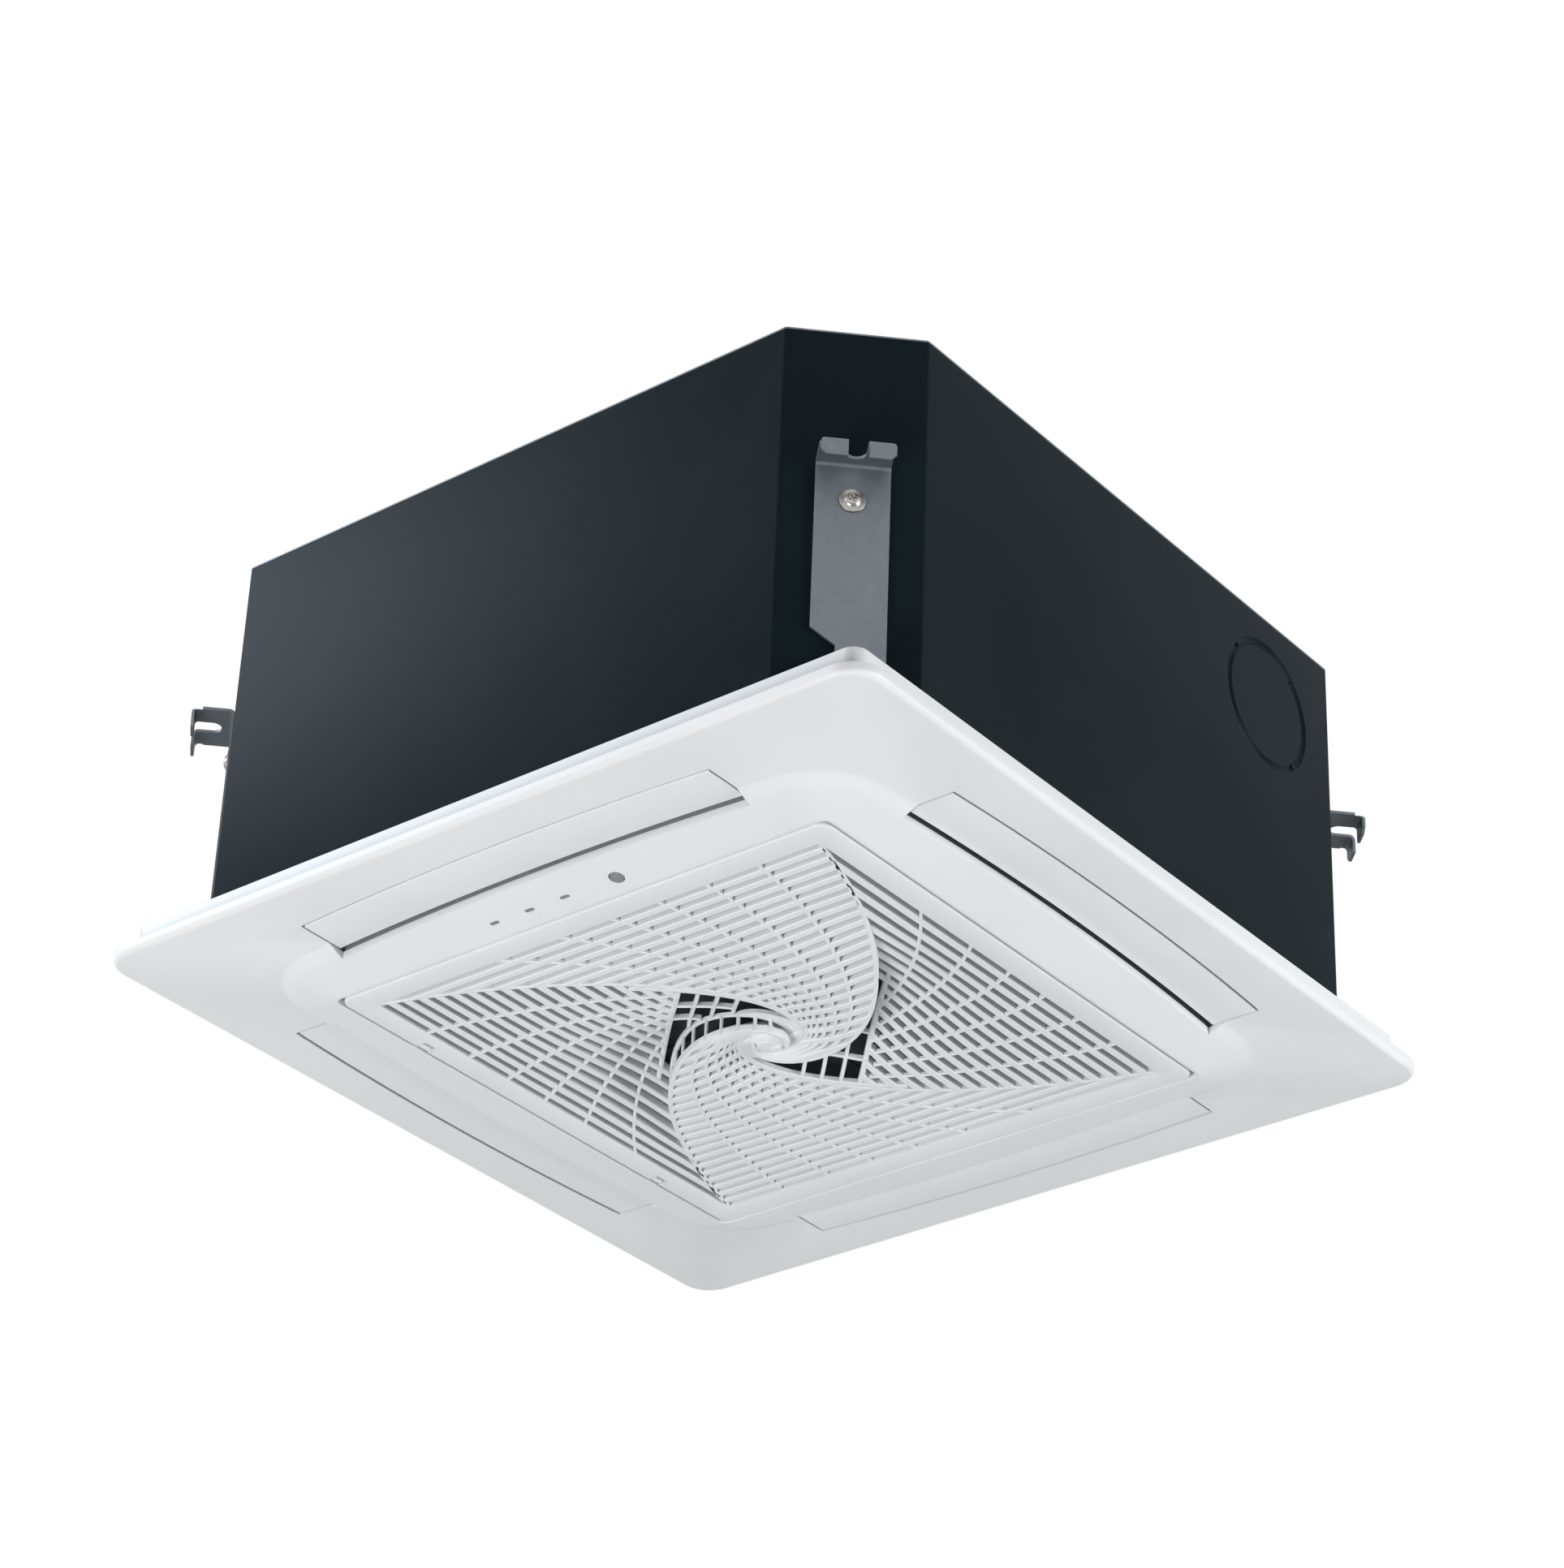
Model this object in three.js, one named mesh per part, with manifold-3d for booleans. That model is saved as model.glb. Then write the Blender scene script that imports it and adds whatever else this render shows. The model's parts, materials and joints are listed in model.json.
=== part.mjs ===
// A compact four-way ceiling cassette air conditioner, in millimetres, with +Z up.
// Z = 0 is the ceiling plane: the body hangs above it and the white panel closes it from below.
// The origin is the middle of the panel. Round the object the four sides repeat, so a piece that
// belongs to a side is drawn once on the -Y side and turned about Z.
import * as THREE from "three";
import { mergeVertices } from "three/addons/utils/BufferGeometryUtils.js";
import Module from "manifold-3d";

const wasm = await Module();
wasm.setup();

// ---------------------------------------------------------------- driving dimensions

const SEAT = 0.3; // gap between two pieces that touch
const SHEET = 1.5; // sheet metal of the casing

// panel
const PANEL_SIDE = 620;
const PANEL_CORNER = 22;
const RIM_DEPTH = 8; // the rim hangs this far below the ceiling
const RIM_ROUND = 4;
const SKIN = 3; // wall of the panel moulding
const UPSTAND_SIDE = PANEL_SIDE - 28; // the wall behind the rim that enters the ceiling opening
const UPSTAND_HEIGHT = 20;
const UPSTAND_CORNER = 10;
const CENTRE_SIDE = PANEL_SIDE - 157; // raised centre, measured near its corners
const CENTRE_CORNER = 44;
const CENTRE_STEP = 5; // raised centre below the rim, at its edge
const CENTRE_BEVEL = 12;
const SIDE_BOW = 6; // the long edges bow outwards by this much

// louvres
const LOUVRE_LENGTH = CENTRE_SIDE - 132;
const LOUVRE_WIDTH = 34;
const LOUVRE_THICKNESS = 2.5;
const LOUVRE_GAP_INNER = 3.5;
const LOUVRE_GAP_OUTER = 2;
const LOUVRE_GAP_END = 1.5;
const PIVOT_HEIGHT = 7.5; // louvre pivot above the louvre's face
const PIVOT_INSET = 11; // louvre pivot from the blade's inner edge, at its ends
const PIVOT_PIN_RADIUS = 2;
const PIVOT_CLEARANCE = 0.4;
const DUCT_WALL = 2;
const DUCT_STEP = 1.5; // the duct stands this far outside the outlet's edge

// intake grille
const GRILLE_SIDE = CENTRE_SIDE - 64;
const GRILLE_CORNER = 9;
const GRILLE_GAP = 1.5;
const OPENING_CORNER = 5; // tighter than the grille's, so that the open grille's corners clear it
const GRILLE_DROP = 13; // grille face below the rim's face
const GRILLE_THICKNESS = 5;
const GRILLE_BORDER = 18.5;
const GRILLE_EDGE = 1.5;
const SAIL_RECESS = 0.4; // sails behind the border's face
const SAIL_THICKNESS = 3.6;
const SAIL_PROUD = 6; // white sails bulge down towards their leading edge
const SAIL_DEEP = 12; // the sails between them rise by this much
const SEAM_TURN = THREE.MathUtils.degToRad(33); // turn of a seam per unit of ln(radius)
const SEAM_CURL = THREE.MathUtils.degToRad(5.15); // extra turn towards the hub
const HUB_RADIUS = 16;
const SLOT_PITCH = 13.6;
const SLOT_WIDTH = 6.4;
const SLOT_TAPER = 0.05; // a row's slots widen by twice this from one to the next
const SPOKE_WIDTH = 2.6;
const SPOKES = 2; // slots in a row
const WINDOW_CHORD = 66; // crescent windows start this far from the hub
const WINDOW_POST_PITCH = 13;
const WINDOW_RAILS = [-60, -2, 26, 62]; // heights of the rails along the window
const WINDOW_TIP = 88; // radius at which the window's tail ends
const WINDOW_BAR = 1.8;
const GRILLE_WALL = 2;
const GRILLE_WALL_SIDE = GRILLE_SIDE - 23;

// grille hinge and latches
const HINGE_INSET = 2.9; // hinge axis from the grille's edge
const HINGE_HEIGHT = 3.1; // hinge axis above the grille's face
const HINGE_PIN_RADIUS = 1.5;
const HINGE_SPREAD = 240;
const HINGE_LUG_WIDTH = 8;
const LATCH_SPREAD = 240;
const PLUNGER_RADIUS = 3;

// body
const BODY_SIDE = UPSTAND_SIDE - 8;
const BODY_CHAMFER = 63; // leg of each cut corner
const BODY_BOTTOM = 20.5;
const BODY_TOP = 280;
const SWAGE_HEIGHT = 2;
const LINER_WALL = 11;
const LINER_TOP = 12;
const PAN_HEIGHT = 38;
const GUTTER_DEPTH = 22;
const INTAKE_SIDE = GRILLE_SIDE - 15; // square opening through panel, drain pan and bell mouth
const COIL_SIDE = BODY_SIDE - 132;
const COIL_DEPTH = 28;
const COIL_BEND = 60;
const COIL_GAP_START = 140; // the coil stops here on both sides of its open corner
const KNOCKOUT_RADIUS = 48;
const KNOCKOUT_X = 152;
const KNOCKOUT_Z = 211;

// hanger brackets
const HANGER_WIDTH = 46;
const HANGER_SHEET = 2;
const HANGER_BOTTOM = 26;
const HANGER_TOP = 180;
const HANGER_REACH = 29;
const HANGER_LIP = 14;
const HANGER_SLOT = 12.7;
const HANGER_SCREW_Z = 152;

// fan and motor
const FAN_RADIUS = 166;
const FAN_BLADES = 7;
const FAN_TOP = 216;
const FAN_INLET_RADIUS = 125;
const FAN_INLET_Z = 84;
const FAN_SHEET = 2.5;
const THROAT_RADIUS = 118.5;
const MOUTH_RADIUS = 150;
const MOUTH_Z = 48;
const MOTOR_RADIUS = 50;
const MOTOR_BOTTOM = 206;
const SHAFT_RADIUS = 5;
const HUB_BOTTOM = 150;

// services on the hidden sides
const PIPE_REACH = 34;
const GAS_PIPE_RADIUS = 6.35;
const LIQUID_PIPE_RADIUS = 3.2;
const GAS_PIPE = new THREE.Vector2(172, 150); // x, z
const LIQUID_PIPE = new THREE.Vector2(200, 120);
const DRAIN_Y = 190;
const DRAIN_Z = 200;
const DRAIN_BORE = 11;
const PUMP_AT = 201; // pump centre in x and y, over the gutter in the open corner of the coil

// ---------------------------------------------------------------- derived places

const RIM_FACE = -RIM_DEPTH;
const GRILLE_FACE = RIM_FACE - GRILLE_DROP;
const GRILLE_BACK = GRILLE_FACE + GRILLE_THICKNESS;
const GRILLE_HALF = GRILLE_SIDE / 2;
const OPENING_HALF = GRILLE_HALF + GRILLE_GAP;
const INTAKE_HALF = INTAKE_SIDE / 2;
const LEDGE_TOP = RIM_FACE + SKIN;
const CENTRE_HALF = CENTRE_SIDE / 2;
const LOUVRE_HALF = LOUVRE_LENGTH / 2;
const LOUVRE_INNER = CENTRE_HALF + LOUVRE_GAP_INNER;
const LOUVRE_OUTER = LOUVRE_INNER + LOUVRE_WIDTH;
const PIVOT_HALF = LOUVRE_INNER + PIVOT_INSET;
const PIVOT_Z = RIM_FACE + PIVOT_HEIGHT;
const OUTLET_END = LOUVRE_HALF + LOUVRE_GAP_END;
const DUCT_INNER = LOUVRE_INNER - LOUVRE_GAP_INNER - DUCT_STEP;
const DUCT_OUTER = LOUVRE_OUTER + LOUVRE_GAP_OUTER + DUCT_STEP;
const PERFORATED_HALF = GRILLE_HALF - GRILLE_BORDER;
const SEAM_START = PERFORATED_HALF * Math.SQRT2;
const SAIL_FACE = GRILLE_FACE + SAIL_RECESS;
const BODY_HALF = BODY_SIDE / 2;
const BODY_DIAGONAL = (BODY_SIDE - BODY_CHAMFER) / Math.SQRT2; // from the axis to a cut corner's face
const PAN_BOTTOM = BODY_BOTTOM + SHEET + SEAT;
const PAN_TOP = PAN_BOTTOM + PAN_HEIGHT;
const GUTTER_FLOOR = PAN_TOP - GUTTER_DEPTH;
const LID_BOTTOM = BODY_TOP - SHEET;
const LINER_OUTSIDE = BODY_HALF - SHEET - SEAT;
const LINER_INSIDE = LINER_OUTSIDE - LINER_WALL;
const COIL_HALF = COIL_SIDE / 2;
const HINGE_Y = GRILLE_HALF - HINGE_INSET;
const HINGE_Z = GRILLE_FACE + HINGE_HEIGHT;
const LATCH_Y = -(GRILLE_HALF - PLUNGER_RADIUS);
const QUARTER = Math.PI / 2;

// ---------------------------------------------------------------- finishes

const finish = (name, color, roughness, metalness = 0) =>
  Object.assign(new THREE.MeshStandardMaterial({ color, roughness, metalness, flatShading: true }), { name });
const WHITE = finish("white_plastic", 0xe6e8e8, 0.45);
const DARK = finish("dark_casing", 0x27323a, 0.5, 0.2);
const ZINC = finish("galvanised_sheet", 0x8c9298, 0.45, 0.8);
const STEEL = finish("screw_steel", 0xa7abb0, 0.35, 0.9);
const FOAM = finish("white_foam", 0xd9dcda, 0.9);
const FINS = finish("coil_fins", 0xaeb8bd, 0.5, 0.8);
const COPPER = finish("copper_tube", 0xb87048, 0.35, 1);
const BRASS = finish("brass_nut", 0xb79a52, 0.4, 1);
const GREY = finish("grey_plastic", 0x8a9094, 0.55);
const BLACK = finish("black_plastic", 0x22262a, 0.5);
const BOARD = finish("circuit_board", 0x2f5d43, 0.6);
const MESH = finish("filter_mesh", 0x5d646a, 0.8);
const LENS = finish("dark_lens", 0x3a3f45, 0.15);

// ---------------------------------------------------------------- modelling helpers

// A closed geometry as a solid that can be joined and cut, and a solid as a geometry again.
function solidOf(geometry) {
  let welded = geometry;
  if (!geometry.userData.welded) {
    welded = geometry.clone();
    welded.deleteAttribute("normal");
    welded.deleteAttribute("uv");
    welded = mergeVertices(welded, 1e-4);
  }
  const vertProperties = welded.getAttribute("position").array;
  const triVerts = Uint32Array.from(welded.index.array);
  return new wasm.Manifold(new wasm.Mesh({ numProp: 3, vertProperties, triVerts }));
}

function geometryOf(solid) {
  const { vertProperties, triVerts } = solid.getMesh();
  const geometry = new THREE.BufferGeometry();
  geometry.setAttribute("position", new THREE.BufferAttribute(vertProperties, 3));
  geometry.setIndex(new THREE.BufferAttribute(triVerts, 1));
  geometry.userData.welded = true;
  return geometry;
}

function joined(...geometries) {
  return geometries.map(solidOf).reduce((whole, next) => whole.add(next));
}

function cut(solid, ...geometries) {
  return geometries.map(solidOf).reduce((rest, tool) => rest.subtract(tool), solid);
}

// A named mesh of a solid or of a closed geometry.
function piece(name, material, shape) {
  const geometry = shape.isBufferGeometry ? shape : geometryOf(shape);
  geometry.computeVertexNormals();
  const mesh = new THREE.Mesh(geometry, material);
  mesh.name = name;
  return mesh;
}

// Extrusions of a flat outline: up from a height, along X (outline in Y, Z) and along Y (in X, Z).
function upright(shape, bottom, top, curveSegments = 6) {
  const options = { depth: top - bottom, bevelEnabled: false, curveSegments };
  return new THREE.ExtrudeGeometry(shape, options).translate(0, 0, bottom);
}

function alongX(shape, start, end, curveSegments = 6) {
  const turn = new THREE.Matrix4().makeBasis(
    new THREE.Vector3(0, 1, 0),
    new THREE.Vector3(0, 0, 1),
    new THREE.Vector3(1, 0, 0),
  );
  return upright(shape, start, end, curveSegments).applyMatrix4(turn);
}

function alongY(shape, start, end, curveSegments = 6) {
  return upright(shape, -end, -start, curveSegments).rotateX(QUARTER);
}

function block(x0, x1, y0, y1, z0, z1) {
  const size = new THREE.BoxGeometry(x1 - x0, y1 - y0, z1 - z0);
  return size.translate((x0 + x1) / 2, (y0 + y1) / 2, (z0 + z1) / 2);
}

function rod(radius, bottom, top, sides = 12, x = 0, y = 0) {
  const rise = top - bottom;
  return new THREE.CylinderGeometry(radius, radius, rise, sides)
    .rotateX(QUARTER)
    .translate(x, y, bottom + rise / 2);
}

// A turned solid: profile points are (radius, height) pairs, closed on themselves or on the axis,
// in either direction.
function turned(profile, sides) {
  const points = profile.map(([radius, height]) => new THREE.Vector2(radius, height));
  if (THREE.ShapeUtils.isClockWise(points)) points.reverse();
  return new THREE.LatheGeometry(points, sides).rotateX(QUARTER);
}

function turnedRing(profile, sides) {
  return turned([...profile, profile[0]], sides);
}

function polygon(points) {
  return new THREE.Shape(points.map(([x, y]) => new THREE.Vector2(x, y)));
}

function roundedBox(halfX, halfY, corner) {
  const shape = new THREE.Shape();
  shape.absarc(halfX - corner, halfY - corner, corner, 0, QUARTER);
  shape.absarc(corner - halfX, halfY - corner, corner, QUARTER, 2 * QUARTER);
  shape.absarc(corner - halfX, corner - halfY, corner, 2 * QUARTER, 3 * QUARTER);
  shape.absarc(halfX - corner, corner - halfY, corner, 3 * QUARTER, 4 * QUARTER);
  return shape;
}

function disc(radius, x = 0, y = 0) {
  return new THREE.Shape().absarc(x, y, radius, 0, 4 * QUARTER);
}

function ringShape(outside, inside) {
  outside.holes.push(inside);
  return outside;
}

// A square of a half side with corners cut off at a distance from the middle.
function cutSquare(half, diagonal) {
  const end = diagonal * Math.SQRT2 - half;
  return polygon([
    [-end, -half],
    [end, -half],
    [half, -end],
    [half, end],
    [end, half],
    [-end, half],
    [-half, end],
    [-half, -end],
  ]);
}

// Six times the volume inside a triangle mesh, negative if its faces look inwards.
function signedVolume(points, faces) {
  let sum = 0;
  for (let i = 0; i < faces.length; i += 3) {
    const [a, b, c] = [faces[i], faces[i + 1], faces[i + 2]].map((index) => points[index]);
    sum += a.dot(b.clone().cross(c));
  }
  return sum;
}

// Lofts closed outlines of equal length into a solid. A looped loft returns to its first outline.
// Its faces look out whichever way the outlines run.
function loft(outlines, looped = false) {
  const count = outlines[0].length;
  const points = outlines.flat();
  const faces = [];
  const bands = looped ? outlines.length : outlines.length - 1;
  for (let band = 0; band < bands; band += 1) {
    const next = (band + 1) % outlines.length;
    for (let i = 0; i < count; i += 1) {
      const j = (i + 1) % count;
      const [a, b] = [band * count + i, band * count + j];
      const [c, d] = [next * count + j, next * count + i];
      faces.push(a, b, c, a, c, d);
    }
  }
  if (!looped) {
    const last = (outlines.length - 1) * count;
    for (let i = 1; i < count - 1; i += 1) {
      faces.push(0, i + 1, i);
      faces.push(last, last + i, last + i + 1);
    }
  }
  if (signedVolume(points, faces) < 0) faces.reverse();
  return new THREE.BufferGeometry().setFromPoints(points).setIndex(faces);
}

// A rounded square outline at a height; its sides may bow outwards.
const BOWED = { side: 4, corner: 3 };
const STRAIGHT = { side: 1, corner: 3 };
function squareOutline({ half, corner, height, bow = 0 }, steps) {
  const points = [];
  const straight = half - corner;
  for (let side = 0; side < 4; side += 1) {
    const turn = side * QUARTER;
    const place = (x, y) =>
      points.push(
        new THREE.Vector3(
          x * Math.cos(turn) - y * Math.sin(turn),
          x * Math.sin(turn) + y * Math.cos(turn),
          height,
        ),
      );
    for (let step = 0; step < steps.corner; step += 1) {
      const angle = (QUARTER * step) / steps.corner;
      place(straight + corner * Math.cos(angle), straight + corner * Math.sin(angle));
    }
    for (let step = 0; step < steps.side; step += 1) {
      const along = straight * (1 - (2 * step) / steps.side);
      place(along, half + bow * (1 - (along / straight) ** 2));
    }
  }
  return points;
}

// A frame that runs round the square, from its cross-section given as rings.
function squareFrame(rings, steps = STRAIGHT) {
  return loft(
    rings.map((ring) => squareOutline(ring, steps)),
    true,
  );
}

function turnedCopies(count, make) {
  return Array.from({ length: count }, (_, index) => make(index));
}

// ---------------------------------------------------------------- panel

// The bowed strip of a louvre or its outlet on the -Y side, between two distances from the middle.
const BOW_STEPS = 4;
function bowedStrip(inner, outer, halfLength) {
  const points = [];
  const bowAt = (x) => SIDE_BOW * (1 - (x / LOUVRE_HALF) ** 2);
  for (let step = 0; step <= BOW_STEPS; step += 1) {
    const x = halfLength * (1 - (2 * step) / BOW_STEPS);
    points.push([x, -inner - bowAt(x)]);
  }
  for (let step = 0; step <= BOW_STEPS; step += 1) {
    const x = halfLength * ((2 * step) / BOW_STEPS - 1);
    points.push([x, -outer - bowAt(x)]);
  }
  return polygon(points);
}

function panelMoulding() {
  const half = PANEL_SIDE / 2;
  const upstand = UPSTAND_SIDE / 2;
  const wallInside = OPENING_HALF + SKIN;
  const edgeDrop = RIM_FACE - CENTRE_STEP;
  const lip = GRILLE_FACE + SAIL_RECESS;
  const bevelled = CENTRE_HALF + CENTRE_BEVEL;
  const rounding = RIM_ROUND * 0.3;
  const edge = { corner: CENTRE_CORNER, bow: SIDE_BOW };
  const rings = [
    { half, corner: PANEL_CORNER, height: 0 },
    { half, corner: PANEL_CORNER, height: RIM_FACE + RIM_ROUND },
    { half: half - rounding, corner: PANEL_CORNER - rounding, height: RIM_FACE + rounding },
    { half: half - RIM_ROUND, corner: PANEL_CORNER - RIM_ROUND, height: RIM_FACE },
    { half: bevelled, corner: CENTRE_CORNER + CENTRE_BEVEL, height: RIM_FACE, bow: SIDE_BOW },
    { ...edge, half: CENTRE_HALF + SKIN, corner: CENTRE_CORNER + SKIN, height: edgeDrop + 0.4 * CENTRE_STEP },
    { ...edge, half: CENTRE_HALF + 0.6, height: edgeDrop },
    { half: wallInside, corner: OPENING_CORNER + SKIN, height: lip + SAIL_RECESS },
    { half: OPENING_HALF + 1, corner: OPENING_CORNER + 1, height: lip },
    { half: OPENING_HALF, corner: OPENING_CORNER, height: lip + 1 },
    { half: OPENING_HALF, corner: OPENING_CORNER, height: LEDGE_TOP - SKIN },
    { half: INTAKE_HALF, corner: GRILLE_CORNER, height: LEDGE_TOP - SKIN },
    { half: INTAKE_HALF, corner: GRILLE_CORNER, height: LEDGE_TOP },
    { half: wallInside, corner: OPENING_CORNER + SKIN, height: LEDGE_TOP },
    { half: wallInside, corner: OPENING_CORNER + SKIN, height: lip + SKIN + 1 },
    { ...edge, half: CENTRE_HALF, height: edgeDrop + SKIN },
    { half: bevelled, corner: CENTRE_CORNER + CENTRE_BEVEL, height: LEDGE_TOP, bow: SIDE_BOW },
    { half: upstand - SKIN, corner: UPSTAND_CORNER - SKIN, height: LEDGE_TOP },
    { half: upstand - SKIN, corner: UPSTAND_CORNER - SKIN, height: UPSTAND_HEIGHT },
    { half: upstand, corner: UPSTAND_CORNER, height: UPSTAND_HEIGHT },
    { half: upstand, corner: UPSTAND_CORNER, height: 0 },
  ];
  return squareFrame(rings, BOWED);
}

// Outlet duct behind the panel on the -Y side: four walls, a foot on the raised centre's back and
// a boss for the louvre's idle pin. The other end wall carries the louvre motor.
const DUCT_TOP = UPSTAND_HEIGHT - 1;
const PANEL_SLOPE = new THREE.Vector2(
  CENTRE_HALF + SIDE_BOW - OPENING_HALF - SKIN,
  GRILLE_DROP - CENTRE_STEP - 2 * SAIL_RECESS,
);
function outletDuct() {
  const outside = bowedStrip(DUCT_INNER - DUCT_WALL, DUCT_OUTER + DUCT_WALL, OUTLET_END + DUCT_WALL);
  const inside = bowedStrip(DUCT_INNER, DUCT_OUTER, OUTLET_END);
  const walls = upright(ringShape(outside, inside), LEDGE_TOP - 1, DUCT_TOP);
  const footBottom = RIM_FACE - CENTRE_STEP + 0.4;
  const footShape = bowedStrip(DUCT_INNER - DUCT_WALL, DUCT_INNER, OUTLET_END + DUCT_WALL);
  const foot = upright(footShape, footBottom, LEDGE_TOP);
  const boss = rod(2 * PIVOT_PIN_RADIUS + 1, OUTLET_END, OUTLET_END + DUCT_WALL + 3, 8);
  boss.rotateY(-QUARTER).translate(0, -PIVOT_HALF, PIVOT_Z);
  return joined(walls, foot, boss);
}

function pivotBores() {
  const reach = OUTLET_END + DUCT_WALL + 10;
  const bore = rod(PIVOT_PIN_RADIUS + PIVOT_CLEARANCE, -reach, reach, 6);
  return bore.rotateY(QUARTER).translate(0, -PIVOT_HALF, PIVOT_Z);
}

const HINGE_BORE = HINGE_PIN_RADIUS + 0.4;
const HINGE_LUG_RADIUS = 3;
function hingeLug(x) {
  const lug = new THREE.Shape();
  lug.absarc(HINGE_Y, HINGE_Z, HINGE_LUG_RADIUS, Math.PI, 2 * Math.PI);
  lug.lineTo(HINGE_Y + HINGE_LUG_RADIUS, LEDGE_TOP - 1);
  lug.lineTo(HINGE_Y - HINGE_LUG_RADIUS, LEDGE_TOP - 1);
  lug.holes.push(disc(HINGE_BORE, HINGE_Y, HINGE_Z));
  const half = HINGE_LUG_WIDTH / 2;
  const mouth = block(x - half - 1, x + half + 1, HINGE_Y - 5, HINGE_Y, HINGE_Z - 1.2, HINGE_Z + 1.2);
  return cut(solidOf(alongX(lug, x - half, x + half, 4)), mouth);
}

// A place on the raised centre's sloping face on the -X side, y along the side.
const WINDOW_HALF = 216;
const WINDOW_TILT = Math.atan2(PANEL_SLOPE.y, PANEL_SLOPE.x);
const WINDOW_FACE_Z =
  RIM_FACE - CENTRE_STEP - ((CENTRE_HALF + SIDE_BOW - WINDOW_HALF) * PANEL_SLOPE.y) / PANEL_SLOPE.x;
const RECEIVER_Y = -50;
const RECEIVER_RADIUS = 5;
const LAMP_PITCH = 29;
const LAMP_LENGTH = 7;
const LAMP_WIDTH = 2.4;
const LAMP_YS = [-8, -8 + LAMP_PITCH, -8 + 2 * LAMP_PITCH];

function onSlope(geometry) {
  return geometry.rotateY(WINDOW_TILT).translate(-WINDOW_HALF, 0, WINDOW_FACE_Z);
}

const SCREW_AT = new THREE.Vector2(INTAKE_HALF + 4.5, 150);
const SCREW_SHANK = 2;
const screwPlaces = [
  [-SCREW_AT.x, -SCREW_AT.y],
  [-SCREW_AT.x, SCREW_AT.y],
  [SCREW_AT.x, -SCREW_AT.y],
  [SCREW_AT.x, SCREW_AT.y],
];

function panelFrame() {
  let panel = solidOf(panelMoulding());
  const outlet = bowedStrip(LOUVRE_INNER - LOUVRE_GAP_INNER, LOUVRE_OUTER + LOUVRE_GAP_OUTER, OUTLET_END);
  for (let side = 0; side < 4; side += 1) {
    panel = cut(panel, upright(outlet, GRILLE_FACE, 1).rotateZ(side * QUARTER));
  }
  const duct = geometryOf(outletDuct());
  for (let side = 0; side < 4; side += 1) {
    panel = panel.add(solidOf(duct.clone().rotateZ(side * QUARTER)));
    panel = cut(panel, pivotBores().rotateZ(side * QUARTER));
  }
  panel = panel.add(hingeLug(-HINGE_SPREAD / 2)).add(hingeLug(HINGE_SPREAD / 2));
  for (const x of [-LATCH_SPREAD / 2, LATCH_SPREAD / 2]) {
    const bore = rod(PLUNGER_RADIUS + PIVOT_CLEARANCE, LEDGE_TOP - SKIN - 1, LEDGE_TOP + 1, 8, x, LATCH_Y);
    panel = cut(panel, bore);
  }
  for (const [x, y] of screwPlaces) {
    panel = cut(panel, rod(SCREW_SHANK + SEAT, LEDGE_TOP - SKIN - 1, LEDGE_TOP + 1, 8, x, y));
  }
  const receiver = rod(RECEIVER_RADIUS + SEAT, -5, 9, 12).translate(0, RECEIVER_Y, 0);
  panel = cut(panel, onSlope(receiver));
  for (const y of LAMP_YS) {
    const slot = upright(roundedBox(LAMP_WIDTH / 2 + SEAT, LAMP_LENGTH / 2 + SEAT, LAMP_WIDTH / 2), -5, 9, 1);
    panel = cut(panel, onSlope(slot.translate(0, y, 0)));
  }
  return piece("panel_frame", WHITE, panel);
}

function receiverWindow() {
  const lens = turned(
    [
      [0, 0.2],
      [RECEIVER_RADIUS - 0.6, 0.2],
      [RECEIVER_RADIUS, 0.8],
      [RECEIVER_RADIUS, SKIN + SEAT + 1.2],
      [RECEIVER_RADIUS + 2, SKIN + SEAT + 1.2],
      [RECEIVER_RADIUS + 2, SKIN + 3.5],
      [0, SKIN + 3.5],
    ],
    12,
  );
  return piece("receiver_window", LENS, onSlope(lens.translate(0, RECEIVER_Y, 0)));
}

function indicatorLightGuide() {
  const backs = SKIN + SEAT + 1.2;
  const bar = block(-3, 3, LAMP_YS[0] - 6, LAMP_YS[2] + 6, backs, backs + 3);
  const tip = upright(roundedBox(LAMP_WIDTH / 2, LAMP_LENGTH / 2, LAMP_WIDTH / 2), 0.2, backs + 1, 1);
  const tips = LAMP_YS.map((y) => tip.clone().translate(0, y, 0));
  const mesh = piece("indicator_light_guide", LENS, joined(bar, ...tips));
  onSlope(mesh.geometry);
  return mesh;
}

// ---------------------------------------------------------------- louvres and their motors

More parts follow.
